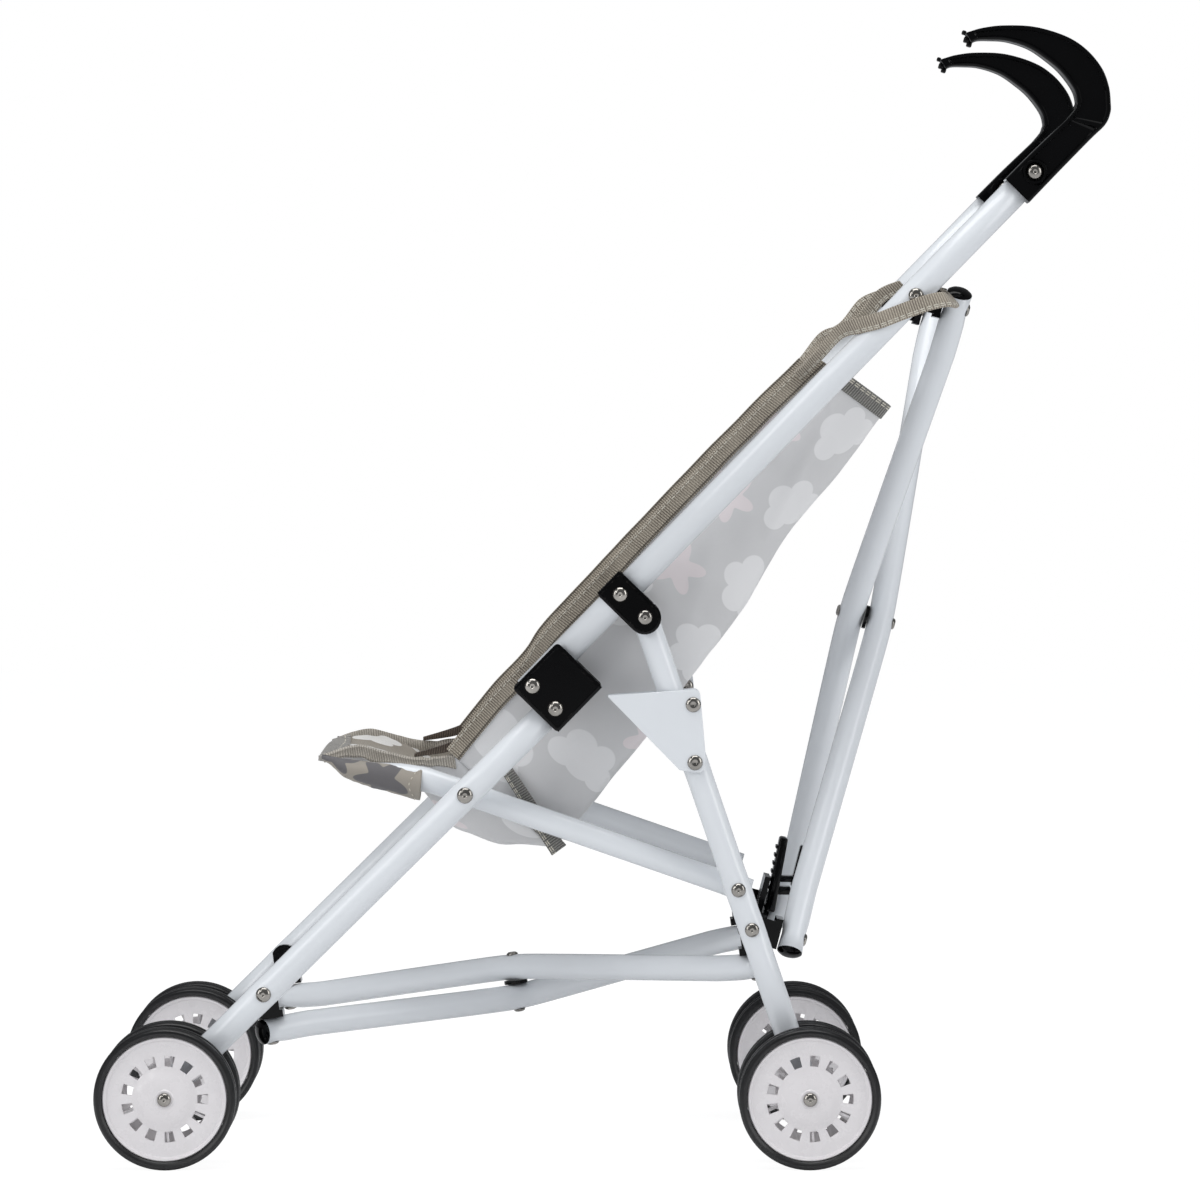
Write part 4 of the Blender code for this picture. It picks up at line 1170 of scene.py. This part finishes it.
darkSizes = {"width": 0.0050, "steps": 26, "point": 0.72, "thick": 0.0016}
darkPath = ((0.0800, -0.0735, 0.2068), (0.0800, -0.0785, 0.2052), (0.0799, -0.0860, 0.2034),
            (0.0797, -0.0937, 0.2018))


def darkStrapEnd(side, tag):
    size = darkSizes
    steps = size["steps"]
    run = smoothRun([(side * x, y, z) for x, y, z in darkPath], steps)
    over = [Vector((0, 0.10, 0.995)) * side] * (steps + 1)
    widths = [size["width"] * (1 - size["point"] * (step / steps) ** 1.6) for step in range(steps + 1)]
    return ribbon("darkStrapEnd_" + tag, run, over, widths, darkWebbing, "left_rail", size["thick"], 0.0002)


for side, tag in sides:
    backParts.append(cornerStrip(side, tag))
    panParts.append(darkStrapEnd(side, tag))


# Loop strap that ties the back's top corner round the handle tube

loopSizes = {"twist": 0.0052, "growth": 0.0028, "inner": 0.0070, "outerSteps": 90, "innerSteps": 40,
             "thick": 0.0014}
loopOuter = ((0.0955, 0.0965, 0.3905), (0.0985, 0.1010, 0.3945), (0.1035, 0.1070, 0.4008),
             (0.1075, 0.1168, 0.4119), (0.1120, 0.1260, 0.4150), (0.1150, 0.1357, 0.4174),
             (0.1160, 0.1482, 0.4221), (0.1158, 0.1607, 0.4264), (0.1135, 0.1685, 0.4278),
             (0.1075, 0.1724, 0.4270), (0.1030, 0.1722, 0.4290), (0.1002, 0.1690, 0.4310))
loopLeans = ((0.5, -0.60, 0.62), (0.42, -0.62, 0.66), (0.30, -0.66, 0.69), (0.20, -0.60, 0.78),
             (0.06, -0.42, 0.90), (0.0, -0.34, 0.94), (0.0, -0.32, 0.95), (0.0, -0.34, 0.94),
             (-0.05, -0.45, 0.89), (0.0, -0.66, 0.75), (0.0, -0.68, 0.73), (0.0, -0.68, 0.73))
loopInner = ((0.0975, 0.1491, 0.4350), (0.0975, 0.1380, 0.4300), (0.0985, 0.1278, 0.4177),
             (0.1005, 0.1168, 0.4120))


def loopStrap(side, tag):
    size = loopSizes
    steps = size["outerSteps"]
    run = smoothRun([(side * x, y, z) for x, y, z in loopOuter], steps)
    over = [Vector((side * lean.x, lean.y, lean.z)).normalized() * side
            for lean in smoothRun(loopLeans, steps)]
    widths = [size["twist"] + size["growth"] * ease(0.16, 0.36, step / steps) for step in range(steps + 1)]
    body = tag + "_handle"
    outer = ribbon("topLoopOuter_" + tag, run, over, widths, loopWebbing, body, size["thick"], 0.0002)
    steps = size["innerSteps"]
    run = smoothRun([(side * x, y, z) for x, y, z in loopInner], steps)
    over = [Vector((side * 0.02, -0.66, 0.75)).normalized() * side] * (steps + 1)
    inner = ribbon("topLoopInner_" + tag, run, over, size["inner"], loopWebbing, body, size["thick"])
    return outer, inner


for side, tag in sides:
    backParts += loopStrap(side, tag)
print("straps made")


# Sleeves of the pan's cloth round the rails' front ends

sleeveSizes = {"half": 0.0075, "flat": (0.041, 0.050), "steps": 48, "around": 40, "thick": 0.0010,
               "hemSteps": 30, "hemAt": 0.90, "hemWave": 0.03, "thread": 0.00028, "threadLift": 0.00055}
sleeveTop = [(-0.1392, 0.2020), (-0.1300, 0.2003), (-0.1200, 0.1993), (-0.1080, 0.1980), (-0.0980, 0.1970),
             (-0.0893, 0.1956)]
sleeveLow = [(-0.1388, 0.2008), (-0.1340, 0.1972), (-0.1284, 0.1925), (-0.1203, 0.1888), (-0.1079, 0.1851),
             (-0.0905, 0.1803)]


def sleevePoint(side, turn, share, lift):
    # a place on the sleeve: turn from 0 to 1 round it, share from its front tip to its rear mouth
    angle = math.radians(100 + 340 * turn)
    top, low = curveThrough(sleeveTop, share), curveThrough(sleeveLow, share)
    middle, half = (top + low) / 2, (top - low) / 2
    wave = noise.noise(Vector((math.cos(angle) * 1.3 + side, math.sin(angle) * 1.2, share * 5))) * 0.0006
    wave += noise.noise(Vector((math.cos(angle) * 2.3, side * 5, share * 17))) * 0.0003
    tall = math.sin(angle) * (1 + (lift + wave) / half.length)
    across = sleeveSizes["half"] * (0.30 + 0.70 * ease(-0.1, 0.34, share)) + lift + wave
    spot = middle + half * tall
    return Vector((side * (railX + math.cos(angle) * across), spot.x, spot.y))


def railSleeve(side, tag):
    size = sleeveSizes
    bm = bmesh.new()
    bmesh.ops.create_grid(bm, x_segments=size["around"], y_segments=size["steps"], size=1.0)
    layer = bm.loops.layers.uv.new("UVMap")
    spots = {}
    for vert in bm.verts:
        turn = vert.co.x * 0.5 + 0.5
        share = vert.co.y * 0.5 + 0.5
        spots[vert] = (turn * size["flat"][0] + 0.011, share * size["flat"][1] - 0.008)
        vert.co = sleevePoint(side, turn, share, 0)
    for face in bm.faces:
        for loop in face.loops:
            loop[layer].uv = spots[loop.vert]
    if side < 0:
        bmesh.ops.reverse_faces(bm, faces=bm.faces)
    area = sum(face.calc_area() for face in bm.faces)
    piece = finishPiece("railSleeve_" + tag, bm, (clothInside, clothOutside), tag + "_rail",
                        ["seat_sleeve_" + tag], 60, closed=False)
    wall = piece.modifiers.new("thickness", "SOLIDIFY")
    wall.thickness = size["thick"]
    wall.offset = 0
    print("sleeve cloth", round(area, 5), "flat", round(size["flat"][0] * size["flat"][1], 5))
    # wavy hem stitches round the rear mouth
    thread = bmesh.new()
    for step in range(0, size["hemSteps"], 2):
        ends = []
        for end in (0.06, 0.86):
            turn = (step + end) / size["hemSteps"]
            share = size["hemAt"] + size["hemWave"] * math.sin(turn * 15)
            ends.append(sleevePoint(side, turn, share, size["threadLift"]))
        part = bmesh.new()
        run = ends[1] - ends[0]
        bmesh.ops.create_cone(part, cap_ends=True, segments=8, radius1=size["thread"],
                              radius2=size["thread"], depth=run.length)
        joinInto(thread, part, Matrix.Translation((ends[0] + ends[1]) / 2)
                 @ run.to_track_quat("Z", "Y").to_matrix().to_4x4())
    stitches = finishPiece("sleeveStitches_" + tag, thread, threadLight, tag + "_rail")
    return piece, stitches


for side, tag in sides:
    sleeve, stitches = railSleeve(side, tag)

# the back and pan cloth, with their tapes and strips but not the top loops, each get a mesh of their own
for piece in [seatBack] + [part for part in backParts if not part.name.startswith("topLoop")]:
    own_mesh(piece)
for piece in [seatPan] + panParts:
    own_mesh(piece)
print("seat made")


# Stage, camera and light

def stagePlane(name, size, place, turn, colour):
    bm = bmesh.new()
    bmesh.ops.create_grid(bm, x_segments=1, y_segments=1, size=size)
    mesh = bpy.data.meshes.new(name)
    bm.to_mesh(mesh)
    bm.free()
    plane = bpy.data.objects.new(name, mesh)
    bpy.context.scene.collection.objects.link(plane)
    plane.location = place
    plane.rotation_euler = turn
    material = bpy.data.materials.new(name)
    material.use_nodes = True
    tree = material.node_tree
    shader = tree.nodes["Principled BSDF"]
    shader.inputs["Base Color"].default_value = (*colour, 1)
    shader.inputs["Roughness"].default_value = 0.9
    glow = tree.nodes.new("ShaderNodeEmission")
    glow.inputs["Strength"].default_value = 1.16
    rays = tree.nodes.new("ShaderNodeLightPath")
    mix = tree.nodes.new("ShaderNodeMixShader")
    seen = addMath(tree, "ADD", rays.outputs["Is Camera Ray"], rays.outputs["Is Transmission Ray"],
                   clamp=True)
    seen = addMath(tree, "MULTIPLY", seen, 0.80)
    tree.links.new(seen, mix.inputs["Fac"])
    tree.links.new(shader.outputs["BSDF"], mix.inputs[1])
    tree.links.new(glow.outputs["Emission"], mix.inputs[2])
    tree.links.new(mix.outputs["Shader"], tree.nodes["Material Output"].inputs["Surface"])
    mesh.materials.append(material)
    plane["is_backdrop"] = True
    return plane


stagePlane("floor", 6, (0, 0, 0), (0, 0, 0), (0.90, 0.90, 0.90))

world = bpy.data.worlds.new("studio")
bpy.context.scene.world = world
world.use_nodes = True
skyTree = world.node_tree
sky = skyTree.nodes["Background"]
sky.inputs["Color"].default_value = (0.40, 0.41, 0.43, 1)
bright = skyTree.nodes.new("ShaderNodeBackground")
bright.inputs["Color"].default_value = (1, 1, 1, 1)
rays = skyTree.nodes.new("ShaderNodeLightPath")
mixSky = skyTree.nodes.new("ShaderNodeMixShader")
seen = addMath(skyTree, "ADD", rays.outputs["Is Camera Ray"], rays.outputs["Is Transmission Ray"],
               clamp=True)
skyTree.links.new(seen, mixSky.inputs["Fac"])
# reflections see a dimmer room, so black plastic stays deep and steel has contrast
dim = skyTree.nodes.new("ShaderNodeBackground")
dim.inputs["Color"].default_value = (0.17, 0.175, 0.18, 1)
mixDim = skyTree.nodes.new("ShaderNodeMixShader")
skyTree.links.new(rays.outputs["Is Glossy Ray"], mixDim.inputs["Fac"])
skyTree.links.new(sky.outputs["Background"], mixDim.inputs[1])
skyTree.links.new(dim.outputs["Background"], mixDim.inputs[2])
skyTree.links.new(mixDim.outputs["Shader"], mixSky.inputs[1])
skyTree.links.new(bright.outputs["Background"], mixSky.inputs[2])
skyTree.links.new(mixSky.outputs["Shader"], skyTree.nodes["World Output"].inputs["Surface"])


def areaLight(name, place, aim, size, power, colour=(1, 1, 1)):
    data = bpy.data.lights.new(name, "AREA")
    data.shape = "RECTANGLE"
    data.size, data.size_y = size
    data.energy = power
    data.color = colour
    lamp = bpy.data.objects.new(name, data)
    bpy.context.scene.collection.objects.link(lamp)
    lamp.location = place
    lamp.rotation_euler = (Vector(aim) - Vector(place)).to_track_quat("-Z", "Y").to_euler()
    return lamp


areaLight("topLight", (0.4, 0.0, 2.2), (0, 0, 0.25), (1.6, 1.2), 20)
areaLight("frontLight", (1.4, -1.9, 1.0), (0, 0, 0.25), (0.9, 1.6), 12.5)
areaLight("rearLight", (1.2, 2.0, 1.0), (0, 0, 0.25), (0.9, 1.6), 11.5)
areaLight("stripLight", (1.5, -0.9, 1.5), (0, 0, 0.3), (0.06, 1.4), 3)

cameraData = bpy.data.cameras.new("camera")
cameraData.lens = 180.8
cameraData.sensor_width = 36
camera = bpy.data.objects.new("camera", cameraData)
bpy.context.scene.collection.objects.link(camera)
camera.location = (3.08, -0.00615, 0.3637)
camera.rotation_euler = Vector((-1, 0.0016593, -0.0282083)).to_track_quat("-Z", "Y").to_euler()
bpy.context.scene.camera = camera
bpy.context.scene.view_settings.view_transform = "Standard"

low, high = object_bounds()
print("visual box", [round(v, 4) for v in (*low, *high)])
